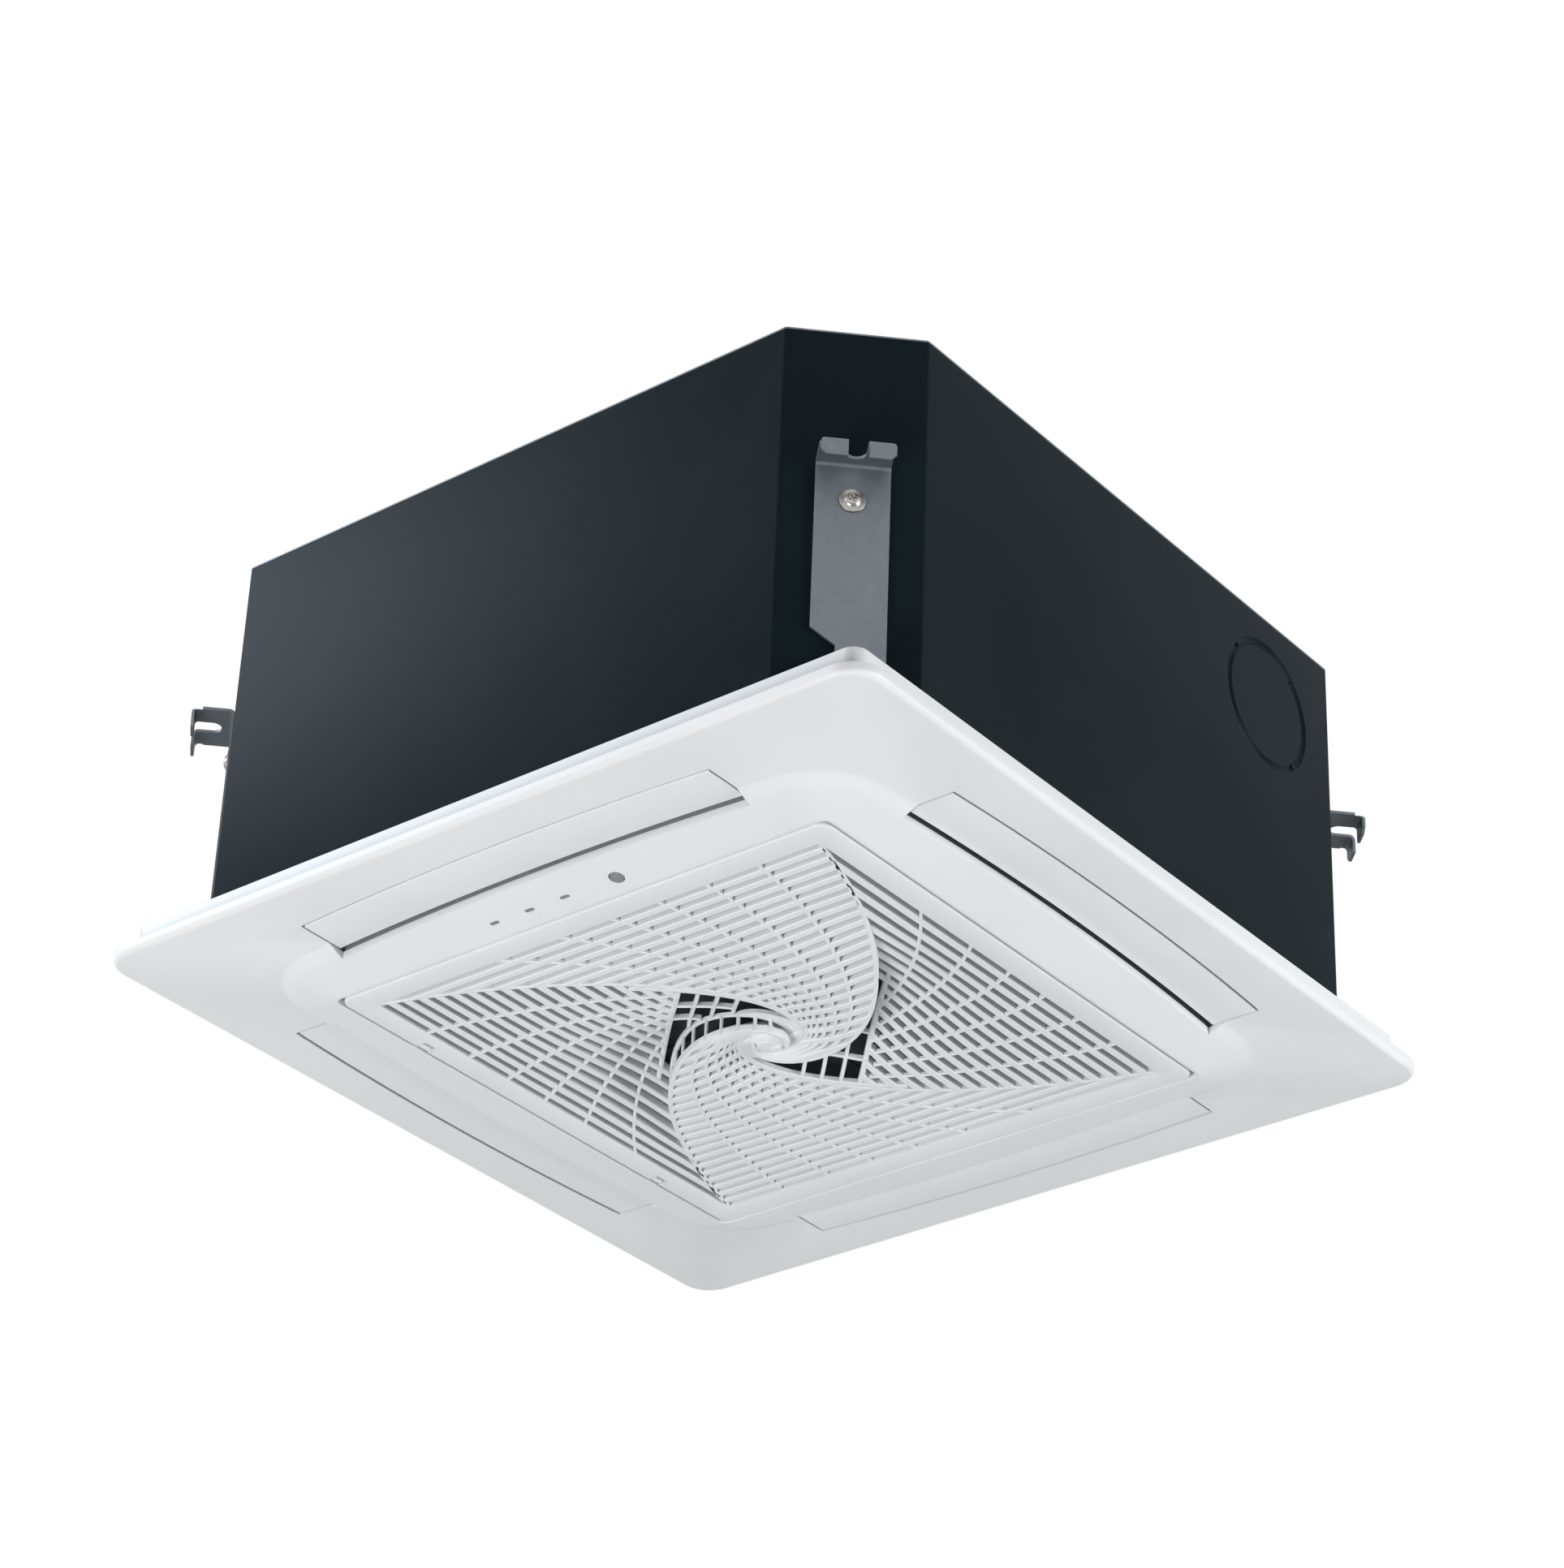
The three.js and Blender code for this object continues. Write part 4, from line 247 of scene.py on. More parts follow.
finish("dark_casing", (0.0042, 0.0098, 0.0135), (0.0062, 0.0126, 0.0165), patch=0.09,
       rough=(0.37, 0.43), grain=0.003, specular=0.043, edge=0.001)
zinc = finish("galvanised_sheet", (0.178, 0.2, 0.22), (0.198, 0.221, 0.241), patch=0.02,
              rough=(0.52, 0.66), grain=0.001, depth=0.00001, metallic=1.0, stops=(0, 1))
spangle(zinc, SPANGLE_SIZE)
finish("screw_steel", (0.38, 0.37, 0.34), (0.5, 0.49, 0.46), patch=0.002, rough=(0.25, 0.4),
       grain=0.0004, depth=0.00001, metallic=1.0)
finish("copper_tube", (0.55, 0.24, 0.13), (0.78, 0.38, 0.22), patch=0.012, rough=(0.22, 0.45),
       grain=0.0007, depth=0.00001, metallic=1.0)
finish("brass_nut", (0.55, 0.4, 0.16), (0.72, 0.54, 0.24), patch=0.008, rough=(0.25, 0.4),
       grain=0.0005, depth=0.00001, metallic=1.0)
print(len(finishes), "finishes so far")

# %% [markdown]
# ## Foam, filter, coil and board
# Hidden pieces deserve a true finish as well, because the grille opens. Foam is matt and beaded.
# The filter is a net of fine threads and the coil a stack of thin fins: both are regular, so a
# Wave texture draws their lines at the real pitch. The board has a green mask.

# %% Regular textures
FIN_PITCH = 0.0016
THREAD_PITCH = 0.0012


def ruled(made, pitch, direction, depth):
    """Rules fine lines across a finish, as threads or fins, in place of its drift and grain."""
    tree = made.node_tree
    lines = add_node(tree, "TexWave", Scale=math.pi / 10 / pitch)
    lines.bands_direction = direction
    ridges = add_node(tree, "Bump", Distance=depth)
    join(tree, tree.nodes["where"], "Object", lines, "Vector")
    join(tree, lines, "Fac", tree.nodes["colours"], "Fac")
    join(tree, lines, "Fac", ridges, "Height")
    join(tree, ridges, "Normal", tree.nodes["Principled BSDF"], "Normal")


finish("white_foam", (0.6, 0.61, 0.62), (0.72, 0.73, 0.74), patch=0.004, rough=(0.8, 0.9),
       grain=0.003, depth=0.0003)
net = finish("filter_mesh", (0.006, 0.006, 0.008), (0.03, 0.032, 0.035), patch=0.01,
             rough=(0.6, 0.7), stops=(0, 1))
ruled(net, THREAD_PITCH, "X", 0.0003)
fins = finish("coil_fins", (0.2, 0.22, 0.24), (0.6, 0.62, 0.65), patch=0.01, rough=(0.3, 0.4),
              metallic=1.0, stops=(0, 1))
ruled(fins, FIN_PITCH, "DIAGONAL", 0.0005)
finish("circuit_board", (0.01, 0.09, 0.04), (0.02, 0.16, 0.07), patch=0.006, rough=(0.3, 0.45),
       grain=0.002, depth=0.00005)
print(len(finishes), "finishes in all")

# %% [markdown]
# ## Each solid takes its finish
# The record of the frame says which material slot each solid belongs to. One loop gives every
# solid the finish of its slot, and the floor gets a pale one of its own.

# %% Finishes on the solids
slot_of = {row["node"]: row["material_slot"] for row in frame["record"]["subparts"]}
for name, solid in nodes.items():
    solid.data.materials.clear()
    solid.data.materials.append(finishes[slot_of[name]])
pale = finish("pale_floor", (0.8, 0.8, 0.8), (0.86, 0.86, 0.86), patch=0.8, rough=(0.6, 0.7),
              grain=0.01, depth=0.0001)
floor.data.materials.append(pale)
print(len(set(slot_of.values())), "slots in use")

# %% [markdown]
# ## From numbers to a shell
# Most pieces here are lofts: rings of points joined by faces, as a moulder's sections are. All
# lengths are in millimetres, as on a drawing. Turned shapes, plates and boxes are lofts too, with
# rings that are circles, outlines or rectangles, so a few short helpers make them all.

# %% Helpers for shells
QUARTER = math.pi / 2


def spread(start, end, steps):
    """Evenly spaced numbers from a start to an end, both included."""
    return [start + (end - start) * i / steps for i in range(steps + 1)]


def loft(rings, looped=False):
    """A shell through rings of the same number of points: closed into a loop, or with end caps."""
    count = len(rings[0])
    points = [point for ring in rings for point in ring]
    faces = []
    for i in range(len(rings) if looped else len(rings) - 1):
        near, far = i * count, (i + 1) % len(rings) * count
        for j in range(count):
            k = (j + 1) % count
            faces.append((near + j, near + k, far + k, far + j))
    if not looped:
        faces.append(tuple(reversed(range(count))))
        faces.append(tuple(range(len(points) - count, len(points))))
    return points, faces


def moved(shell, matrix):
    """The shell under a matrix whose lengths are millimetres."""
    return [matrix @ Vector(point) for point in shell[0]], shell[1]


def quarter_turn(index, start=0.0):
    return Matrix.Rotation(index * QUARTER + start, 4, "Z")


def arc(x, y, radius, start, end, steps):
    """Points of an arc in a plane, round a centre, between two angles."""
    angles = spread(start, end, steps)
    return [(x + radius * math.cos(a), y + radius * math.sin(a)) for a in angles]


def circle(radius, height, sides=48, x=0, y=0):
    return [(*point, height) for point in arc(x, y, radius, 0, 2 * math.pi, sides)[:-1]]


def turned(profile, sides=48, looped=False, x=0, y=0):
    """A shape turned round an upright axis, from pairs of radius and height."""
    return loft([circle(radius, z, sides, x, y) for radius, z in profile], looped)


def prism_x(outline, start, end):
    """A plate square to X from its outline in y and z."""
    return loft([[(x, y, z) for y, z in outline] for x in (start, end)])


def box(x0, x1, y0, y1, z0, z1):
    return prism_x([(y0, z0), (y1, z0), (y1, z1), (y0, z1)], x0, x1)


TURN_TO_X = Matrix(((0, 0, 1, 0), (1, 0, 0, 0), (0, 1, 0, 0), (0, 0, 0, 1)))


def turned_x(profile, y, z, sides=48, looped=False):
    """A shape turned round an axis along X, from pairs of radius and x."""
    return moved(turned(profile, sides, looped), Matrix.Translation((0, y, z)) @ TURN_TO_X)


print(len(turned([(1, 0), (1, 5)])[1]), "faces on a plain round bar")

# %% [markdown]
# ## From shells to a piece
# A piece may be several shells that run into each other, because a visual piece needn't be one
# closed solid. Its faces are smooth, with sharp edges where two faces meet at more than the
# crease angle. Holes are cut by Booleans and kept as plain mesh, so nothing is left to work out
# later. Each piece is then parented to the body it rides on, and the solids it stands for
# are hidden.

# %% Helpers for pieces
MM = 0.001


def smooth_with_creases(mesh, crease=35):
    mesh.shade_smooth()
    mesh.set_sharp_from_angle(angle=math.radians(crease))


def mesh_of(name, shells, crease=35):
    """One mesh from several shells, in metres, with its normals turned outwards."""
    points, faces = [], []
    for shell_points, shell_faces in shells:
        start = len(points)
        points += [Vector(point) * MM for point in shell_points]
        faces += [[start + i for i in face] for face in shell_faces]
    mesh = bpy.data.meshes.new(name)
    mesh.from_pydata(points, [], faces)
    work = bmesh.new()
    work.from_mesh(mesh)
    bmesh.ops.recalc_face_normals(work, faces=work.faces)
    work.to_mesh(mesh)
    work.free()
    smooth_with_creases(mesh, crease)
    return mesh


def cut_mesh(name, shell, tools):
    """The mesh of a shell with the tool shells taken out of it."""
    solids = [bpy.data.objects.new(name, mesh_of(name, [each])) for each in (shell, *tools)]
    for solid in solids:
        scene.collection.objects.link(solid)
    for tool in solids[1:]:
        step = solids[0].modifiers.new("cut", "BOOLEAN")
        step.operation = "DIFFERENCE"
        step.solver = "EXACT"
        step.object = tool
    bpy.context.view_layer.update()
    shown = solids[0].evaluated_get(bpy.context.evaluated_depsgraph_get())
    result = bpy.data.meshes.new_from_object(shown)
    for solid in solids:
        bpy.data.objects.remove(solid)
    smooth_with_creases(result)
    return result


def piece(name, shells, slot, body, stands_for=(), crease=35):
    """A finished piece: its mesh, its finish and the body it rides on; the solids it stands for are
    hidden.
    """
    mesh = shells if isinstance(shells, bpy.types.Mesh) else mesh_of(name, shells, crease)
    made = bpy.data.objects.new(name, mesh)
    scene.collection.objects.link(made)
    mesh.materials.clear()
    mesh.materials.append(finishes[slot])
    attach(made, body)
    if stands_for:
        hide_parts(*stands_for)
    print(name, len(mesh.polygons), "faces")


# %% [markdown]
# ## Outlines of the panel
# The panel repeats four times round its middle, and its long edges bow outwards a little. Two
# outlines do most of the work: a rounded square whose sides may bow, and a bowed strip, which is
# the shape of an air outlet and of a louvre.

# %% Rounded square and bowed strip
SIDE_BOW = 6
LOUVRE_HALF = 165.5


def rounded_square(half, corner, height, bow=0, corner_steps=12, side_steps=24):
    points = []
    straight = half - corner
    for side in range(4):
        turn = Matrix.Rotation(side * QUARTER, 3, "Z")
        for x, y in arc(straight, straight, corner, 0, QUARTER, corner_steps)[:-1]:
            points.append(turn @ Vector((x, y, height)))
        for along in spread(straight, -straight, side_steps)[:-1]:
            out = half + bow * (1 - (along / straight) ** 2)
            points.append(turn @ Vector((along, out, height)))
    return points


def bow_at(x):
    return SIDE_BOW * (1 - (x / LOUVRE_HALF) ** 2)


def bowed_strip(inner, outer, half_length, height, steps=24):
    xs = spread(half_length, -half_length, steps)
    near = [(x, -inner - bow_at(x), height) for x in xs]
    far = [(x, -outer - bow_at(x), height) for x in reversed(xs)]
    return near + far


print(len(rounded_square(310, 22, 0)), "points round the panel")

# %% [markdown]
# ## The panel moulding
# One thin white moulding: a flat rim with a rounded edge, a wall behind it that enters the
# ceiling, a raised rounded square in the middle, and a ledge behind the grille. The moulding is
# one closed section led round the square. Each row of the section gives half the square's side,
# its corner radius, a height and the bow of the sides.

# %% Section of the moulding
RIM_FACE = -8
RIM_HALF, RIM_CORNER = 310, 22
RIM_ROUND = 4
CENTRE_HALF, CENTRE_CORNER = 231.5, 44
CENTRE_BEVEL = 12
CENTRE_EDGE = -13
FLARE = 0.35
EDGE_WALL = 5.2
OPENING_HALF, OPENING_CORNER = 201, 5
LIP_FACE = -20.6
LEDGE_FACE, LEDGE_TOP = -8, -5
INTAKE_HALF, INTAKE_CORNER = 192, 9
UPSTAND_HALF, UPSTAND_CORNER = 296, 10
UPSTAND_TOP = 20
SKIN = 3


def smooth(low, high, value):
    """An even ramp from 0 to 1 between two values, level at both ends."""
    share = min(max((value - low) / (high - low), 0), 1)
    return share * share * (3 - 2 * share)


sections = [(RIM_HALF, RIM_CORNER, 0, 0)]
for angle in spread(0, QUARTER, 6):
    inset = RIM_ROUND * (1 - math.cos(angle))
    drop = RIM_ROUND * math.sin(angle)
    sections.append((RIM_HALF - inset, RIM_CORNER - inset, RIM_FACE + RIM_ROUND - drop, 0))
for share in spread(0, 1, 8):
    half = CENTRE_HALF + CENTRE_BEVEL * (1 - share) + 0.4 * share
    fall = FLARE * smooth(0, 1, share) + (1 - FLARE) * share
    height = RIM_FACE + (CENTRE_EDGE - RIM_FACE) * fall
    sections.append((half, CENTRE_CORNER + half - CENTRE_HALF, height, SIDE_BOW))
sections += [
    (CENTRE_HALF - 1.2, CENTRE_CORNER - 1.4, CENTRE_EDGE - 0.5, SIDE_BOW),
    (OPENING_HALF + SKIN, OPENING_CORNER + SKIN, LIP_FACE + 0.4, 0),
    (OPENING_HALF + 1, OPENING_CORNER + 1, LIP_FACE, 0),
    (OPENING_HALF + 0.3, OPENING_CORNER + 0.3, LIP_FACE + 0.2, 0),
    (OPENING_HALF, OPENING_CORNER, LIP_FACE + 1, 0),
    (OPENING_HALF, OPENING_CORNER, LEDGE_FACE, 0),
    (INTAKE_HALF, INTAKE_CORNER, LEDGE_FACE, 0),
    (INTAKE_HALF, INTAKE_CORNER, LEDGE_TOP, 0),
    (OPENING_HALF + SKIN, OPENING_CORNER + SKIN, LEDGE_TOP, 0),
    (OPENING_HALF + SKIN, OPENING_CORNER + SKIN, LIP_FACE + 4, 0),
    (CENTRE_HALF, CENTRE_CORNER, CENTRE_EDGE + EDGE_WALL, SIDE_BOW),
    (CENTRE_HALF + CENTRE_BEVEL, CENTRE_CORNER + CENTRE_BEVEL, LEDGE_TOP, SIDE_BOW),
    (UPSTAND_HALF - SKIN, UPSTAND_CORNER - SKIN, LEDGE_TOP, 0),
    (UPSTAND_HALF - SKIN, UPSTAND_CORNER - SKIN, UPSTAND_TOP, 0),
    (UPSTAND_HALF - 0.6, UPSTAND_CORNER - 0.4, UPSTAND_TOP, 0),
    (UPSTAND_HALF, UPSTAND_CORNER, UPSTAND_TOP - 0.6, 0),
    (UPSTAND_HALF, UPSTAND_CORNER, 0, 0),
]
moulding = loft([rounded_square(*section) for section in sections], looped=True)
print(len(moulding[1]), "faces in the moulding,", len(sections), "rings")

# %% [markdown]
# ## Cutting the moulding
# The four outlets, the receiver and the three lamps are cut out, as inserts in the mould leave
# them. An outlet is a bowed strip 39.5 mm wide and 334 mm long. The holes of the receiver and the
# lamps stand square to the sloping face they are in. Two more holes are for the push latches.

# %% Outlets and holes
OUTLET_INNER, OUTLET_OUTER = 231.5, 271
OUTLET_HALF = 167
OUTLET_CUT = (-24, 1)
LENS_SLOPE = math.atan2(7.2, 33.5)
LENS_PLACE = Vector((-216, 0, -17.62))
LENS_CUT = (-5, 9)
RECEIVER_Y = -50
RECEIVER_RADIUS, RECEIVER_GAP = 5, 0.3
LAMP_YS = (-8, 21, 50)
LAMP_HALF_X, LAMP_HALF_Y, LAMP_GAP = 1.2, 3.5, 0.25
LATCH_X, LATCH_Y, LATCH_HOLE = 120, -196.5, 3.4
on_slope = Matrix.Translation(LENS_PLACE) @ Matrix.Rotation(LENS_SLOPE, 4, "Y")


def rounded_slot(half_x, half_y, height, y=0, steps=6):
    """An outline with two straight sides and two round ends, longer along Y."""
    straight = half_y - half_x
    far = arc(0, y + straight, half_x, 0, math.pi, steps)
    near = arc(0, y - straight, half_x, math.pi, 2 * math.pi, steps)
    return [(*point, height) for point in far + near]


def bored(radius, low, high, x=0, y=0):
    return turned([(radius, low), (radius, high)], 32, x=x, y=y)


outlet = loft([bowed_strip(OUTLET_INNER, OUTLET_OUTER, OUTLET_HALF, z) for z in OUTLET_CUT])
tools = [moved(outlet, quarter_turn(side)) for side in range(4)]
tools.append(moved(bored(RECEIVER_RADIUS + RECEIVER_GAP, *LENS_CUT, y=RECEIVER_Y), on_slope))
for y in LAMP_YS:
    half_x, half_y = LAMP_HALF_X + LAMP_GAP, LAMP_HALF_Y + LAMP_GAP
    tools.append(moved(loft([rounded_slot(half_x, half_y, z, y) for z in LENS_CUT]), on_slope))
for x in (-LATCH_X, LATCH_X):
    tools.append(bored(LATCH_HOLE, LEDGE_FACE - 1, LEDGE_TOP + 1, x, LATCH_Y))
panel_mesh = cut_mesh("panel_moulding", moulding, tools)
piece("panel_moulding", panel_mesh, "white_plastic", "unit", ["panel_frame"])

# %% [markdown]
# ## Ducts and hinge lugs
# Behind each outlet a duct leads the air down from the body, with a small boss for the louvre's
# pin. Little light gets into the grey ducts, which is why the gaps round the shut louvres look
# dark. The grille turns on two rounded lugs behind one edge of the opening.

# %% Ducts and lugs
DUCT_STEP = 1.5
DUCT_WALL = 2
DUCT_BOTTOM, DUCT_TOP = LEDGE_TOP - 1, 19
DUCT_FOOT = -12.6
BOSS_RADIUS, BOSS_LENGTH = 5, 4
PIVOT_Y, PIVOT_Z = -246, -0.5
HINGE_Y, HINGE_Z = 196.6, -17.9
HINGE_SPREAD = 120
LUG_RADIUS, LUG_HALF = 3, 4


def duct_shells():
    inner, outer = OUTLET_INNER - DUCT_STEP, OUTLET_OUTER + DUCT_STEP
    outside = [inner - DUCT_WALL, outer + DUCT_WALL, OUTLET_HALF + DUCT_WALL]
    inside = [inner, outer, OUTLET_HALF]
    walls = loft(
        [
            bowed_strip(*outside, DUCT_BOTTOM),
            bowed_strip(*outside, DUCT_TOP),
            bowed_strip(*inside, DUCT_TOP),
            bowed_strip(*inside, DUCT_BOTTOM),
        ],
        looped=True,
    )
    feet = [bowed_strip(outside[0], inner, outside[2], z) for z in (DUCT_FOOT, LEDGE_TOP)]
    boss_start = -outside[2] - BOSS_LENGTH + 1
    boss_profile = [(BOSS_RADIUS, boss_start), (BOSS_RADIUS, boss_start + BOSS_LENGTH)]
    return [walls, loft(feet), turned_x(boss_profile, PIVOT_Y, PIVOT_Z, 24)]


ducts = [moved(shell, quarter_turn(side)) for side in range(4) for shell in duct_shells()]
lug_outline = arc(HINGE_Y, HINGE_Z, LUG_RADIUS, math.pi, 2 * math.pi, 8)
lug_outline += [(HINGE_Y + LUG_RADIUS, DUCT_BOTTOM), (HINGE_Y - LUG_RADIUS, DUCT_BOTTOM)]
hinge_xs = (-HINGE_SPREAD, HINGE_SPREAD)
lugs = [prism_x(lug_outline, x - LUG_HALF, x + LUG_HALF) for x in hinge_xs]
piece("outlet_ducts", ducts, "grey_plastic", "unit")
piece("hinge_lugs", lugs, "white_plastic", "unit")

# %% [markdown]
# ## The louvres
# Each louvre is a long thin blade, bowed like the edge beside it. Shut, its face lies level with
# the rim, and only the thin dark gaps show. The blade is a small rounded section led along the
# bow. It turns on two pins behind it, nearer to its inner edge, held by an arm at each end.

# %% Louvre blades
LOUVRE_INNER, LOUVRE_OUTER = 235, 269
LOUVRE_THICKNESS = 2.5
BLADE_ROUND = 0.9
ARM_WIDTH, ARM_RADIUS = 3, 4
ARM_FOOT = -6.5
PIN_RADIUS = 2
PIN_ENDS = (-171, 174.3)


def blade_section(x):
    """The blade's rounded section at a place along it, from the corner at the face and outside."""
    y0, y1 = -LOUVRE_OUTER - bow_at(x) + BLADE_ROUND, -LOUVRE_INNER - bow_at(x) - BLADE_ROUND
    z0, z1 = RIM_FACE + BLADE_ROUND, RIM_FACE + LOUVRE_THICKNESS - BLADE_ROUND
    ring = []
    for y, z, quarter in ((y0, z0, 2), (y1, z0, 3), (y1, z1, 0), (y0, z1, 1)):
        ring += arc(y, z, BLADE_ROUND, quarter * QUARTER, (quarter + 1) * QUARTER, 3)
    return [(x, y, z) for y, z in ring]


def pin(radius, start, end, y, z):
    return turned_x([(radius, start), (radius, end)], y, z, 24)


def louvre_shells():
    arm = [(PIVOT_Y - 12, ARM_FOOT), (PIVOT_Y + 7, ARM_FOOT)]
    arm += arc(PIVOT_Y, PIVOT_Z, ARM_RADIUS, 0.1, math.pi - 0.4, 10)
    rib = [(PIVOT_Y - 1, ARM_FOOT), (PIVOT_Y + 0.6, ARM_FOOT)]
    rib += [(PIVOT_Y + 0.4, PIVOT_Z), (PIVOT_Y - 0.8, PIVOT_Z)]
    inner = LOUVRE_HALF - ARM_WIDTH
    return [
        loft([blade_section(x) for x in spread(-LOUVRE_HALF, LOUVRE_HALF, 36)]),
        prism_x(arm, -LOUVRE_HALF, -inner),
        prism_x(arm, inner, LOUVRE_HALF),
        prism_x(rib, -inner, inner),
        pin(PIN_RADIUS, PIN_ENDS[0], -inner, PIVOT_Y, PIVOT_Z),
        pin(PIN_RADIUS, inner, PIN_ENDS[1], PIVOT_Y, PIVOT_Z),
    ]


for side, name in enumerate(("front", "right", "back", "left")):
    shells = [moved(shell, quarter_turn(side)) for shell in louvre_shells()]
    piece(f"louvre_blade_{name}", shells, "white_plastic", f"louvre_{name}", [f"louvre_{name}"])

# %% [markdown]
# ## The receiver and the lamps
# A small dark window on the sloping face receives the remote control's signal, and three narrow
# lenses beside it show the unit's state. Both are smoked plastic, a hair below the face. One light
# guide behind the three lenses joins them.

# %% Lenses
LENS_BACK = 4.5
GUIDE_BACK = 7.4
lens_profile = [(4.2, 0.2), (4.7, 0.35), (RECEIVER_RADIUS, 0.9), (RECEIVER_RADIUS, LENS_BACK)]
lens = turned(lens_profile, y=RECEIVER_Y)
piece("receiver_lens", [moved(lens, on_slope)], "dark_lens", "unit", ["receiver_window"])
lamp_shells = [box(-3, 3, LAMP_YS[0] - 6, LAMP_YS[-1] + 6, LENS_BACK, GUIDE_BACK)]
for y in LAMP_YS:
    levels = [(0.25, 0.25), (0, 0.5), (0, LENS_BACK + 1)]
    rings = [rounded_slot(LAMP_HALF_X - i, LAMP_HALF_Y - i, z, y) for i, z in levels]
    lamp_shells.append(loft(rings))
lamp_shells = [moved(shell, on_slope) for shell in lamp_shells]
piece("indicator_lenses", lamp_shells, "dark_lens", "unit", ["indicator_light_guide"])

# %% [markdown]
# ## The swirl of the grille
# The grille is the part that takes the most skill. Its slots run parallel to the four sides, but
# the four fields of slots, the sails, meet along curved seams that wind into the hub. A seam
# turns in proportion to the logarithm of its radius, plus a little more near the hub. That one
# formula tells which sail a point belongs to, and how far across the sail it lies.

# %% Seams and sails
PERFORATED_HALF = 181
SEAM_START = PERFORATED_HALF * math.sqrt(2)
SEAM_TURN = math.radians(33)
SEAM_CURL = math.radians(5.15)
HUB_RADIUS = 11.5
GRILLE_FACE = -21
SAIL_FACE = GRILLE_FACE + 0.4
SAIL_PROUD = 6
SAIL_DEEP = 12
BORDER_EASE = 70
LIFT_START, LIFT_FULL = HUB_RADIUS - 12, 60
FILTER_UNDERSIDE = -4.4


def seam_turn(radius):
    wound = math.log(SEAM_START / radius)
    return SEAM_TURN * wound + SEAM_CURL * wound ** 3


def spoke_point(share, radius):
    """On the front sail, the point of the spoke at a share of the way between its two seams."""
    angle = (share - 1.5) * QUARTER + seam_turn(radius)
    return Vector((radius * math.cos(angle), radius * math.sin(angle)))


def share_at(x, y):
    """How far across the front sail a point lies: 0 at its first seam, 1 at its last."""
    radius = max(math.hypot(x, y), 1)
    turns = (math.atan2(y, x) - seam_turn(radius)) / QUARTER + 1.5
    return (turns + 1) % 4 - 1


def seam_heights(radius):
    """Front heights of a hanging and of a raised edge, where a proud sail meets a deep one."""
    swell = smooth(0, PERFORATED_HALF - BORDER_EASE, PERFORATED_HALF - radius)
    lift = SAIL_DEEP * swell * smooth(LIFT_START, LIFT_FULL, radius)
    return SAIL_FACE - SAIL_PROUD * swell, SAIL_FACE + lift


def sail_height(x, y, deep):
    """Front face of a sail: a deep one rises at its first seam, a proud one hangs at its last."""
    hanging, raised = seam_heights(max(math.hypot(x, y), HUB_RADIUS))
    share = smooth(0, 1, share_at(x, y))
    if deep:
        return raised + (SAIL_FACE - raised) * share
    return SAIL_FACE + (hanging - SAIL_FACE) * share


print("a seam turns", round(math.degrees(seam_turn(HUB_RADIUS))), "degrees on its way to the hub")

# %% [markdown]
# ## Slats
# A slat is a bar between two slots. Its ends are cut along the seams, so the ends of a row lie on
# both curves. I look for them by walking along the row and halving the last step. The slats are
# deeper than the slots are wide: that is why, from below, one sees their walls and not the dark.

# %% Rows of slats
SLAT_PITCH = 10.5
SLAT_WIDTH = 5.6
SLAT_DEPTH = 6
SLAT_ROUND = 0.7
SLAT_STATIONS = 14
ROW_STEP = 2
WINDOW_CHORD = 66
WINDOW_TOP_ROW = 30


def in_window(x, y):
    """Whether a point lies on the hub's side of the window's chord."""
    return y > -WINDOW_CHORD * math.sqrt(2) and (x - y) / math.sqrt(2) < WINDOW_CHORD


def on_sail(x, y, deep):
    if math.hypot(x, y) < HUB_RADIUS or max(abs(x), abs(y)) > PERFORATED_HALF + 1:
        return False
    if deep and in_window(x, y):
        return False
    return 0 <= share_at(x, y) <= 1


def halved(inside, outside, holds, rounds=12):
    """The last number from inside towards outside for which a test holds, by halving."""
    for _ in range(rounds):
        middle = (inside + outside) / 2
        inside, outside = (middle, outside) if holds(middle) else (inside, middle)
    return inside


def row_ends(y, deep):
    """Where a row of the front sail begins and ends, or nothing where the sail has no such row."""
    reach = PERFORATED_HALF + 4
    inside = [x for x in range(-reach, reach, ROW_STEP) if on_sail(x, y, deep)]
    if len(inside) < 3:
        return None
    ends = ((inside[0], -ROW_STEP), (inside[-1], ROW_STEP))
    return [halved(x, x + away, lambda test: on_sail(test, y, deep)) for x, away in ends]


def slat(y, deep):
    """A slat with its two front edges rounded, following the swell of the sail."""
    half = SLAT_WIDTH / 2
    sides = [row_ends(y - half, deep), row_ends(y + half, deep)]
    if None in sides:
        return None
    rings = []
    for share in spread(0, 1, SLAT_STATIONS):
        x0, x1 = (start + (end - start) * share for start, end in sides)
        lean = 0.12 * (x1 - x0)
        face = sail_height((x0 + x1) / 2, y, deep)
        back = max(min(face + SLAT_DEPTH, FILTER_UNDERSIDE), face + 1)
        rings.append(
            [
                (x0, y - half, back),
                (x0, y - half, face + SLAT_ROUND),
                (x0 + lean, y - half + SLAT_ROUND, face),
                (x1 - lean, y + half - SLAT_ROUND, face),
                (x1, y + half, face + SLAT_ROUND),
                (x1, y + half, back),
            ]
        )
    return loft(rings)


def slats(deep):
    first = -PERFORATED_HALF + SLAT_PITCH - SLAT_WIDTH / 2
    rows = math.ceil((WINDOW_TOP_ROW - first) / SLAT_PITCH)
    made = [slat(first + row * SLAT_PITCH, deep) for row in range(rows)]
    return [shell for shell in made if shell]


sails = {True: slats(True), False: slats(False)}
print(len(sails[True]), "slats on a deep sail,", len(sails[False]), "on a proud one")

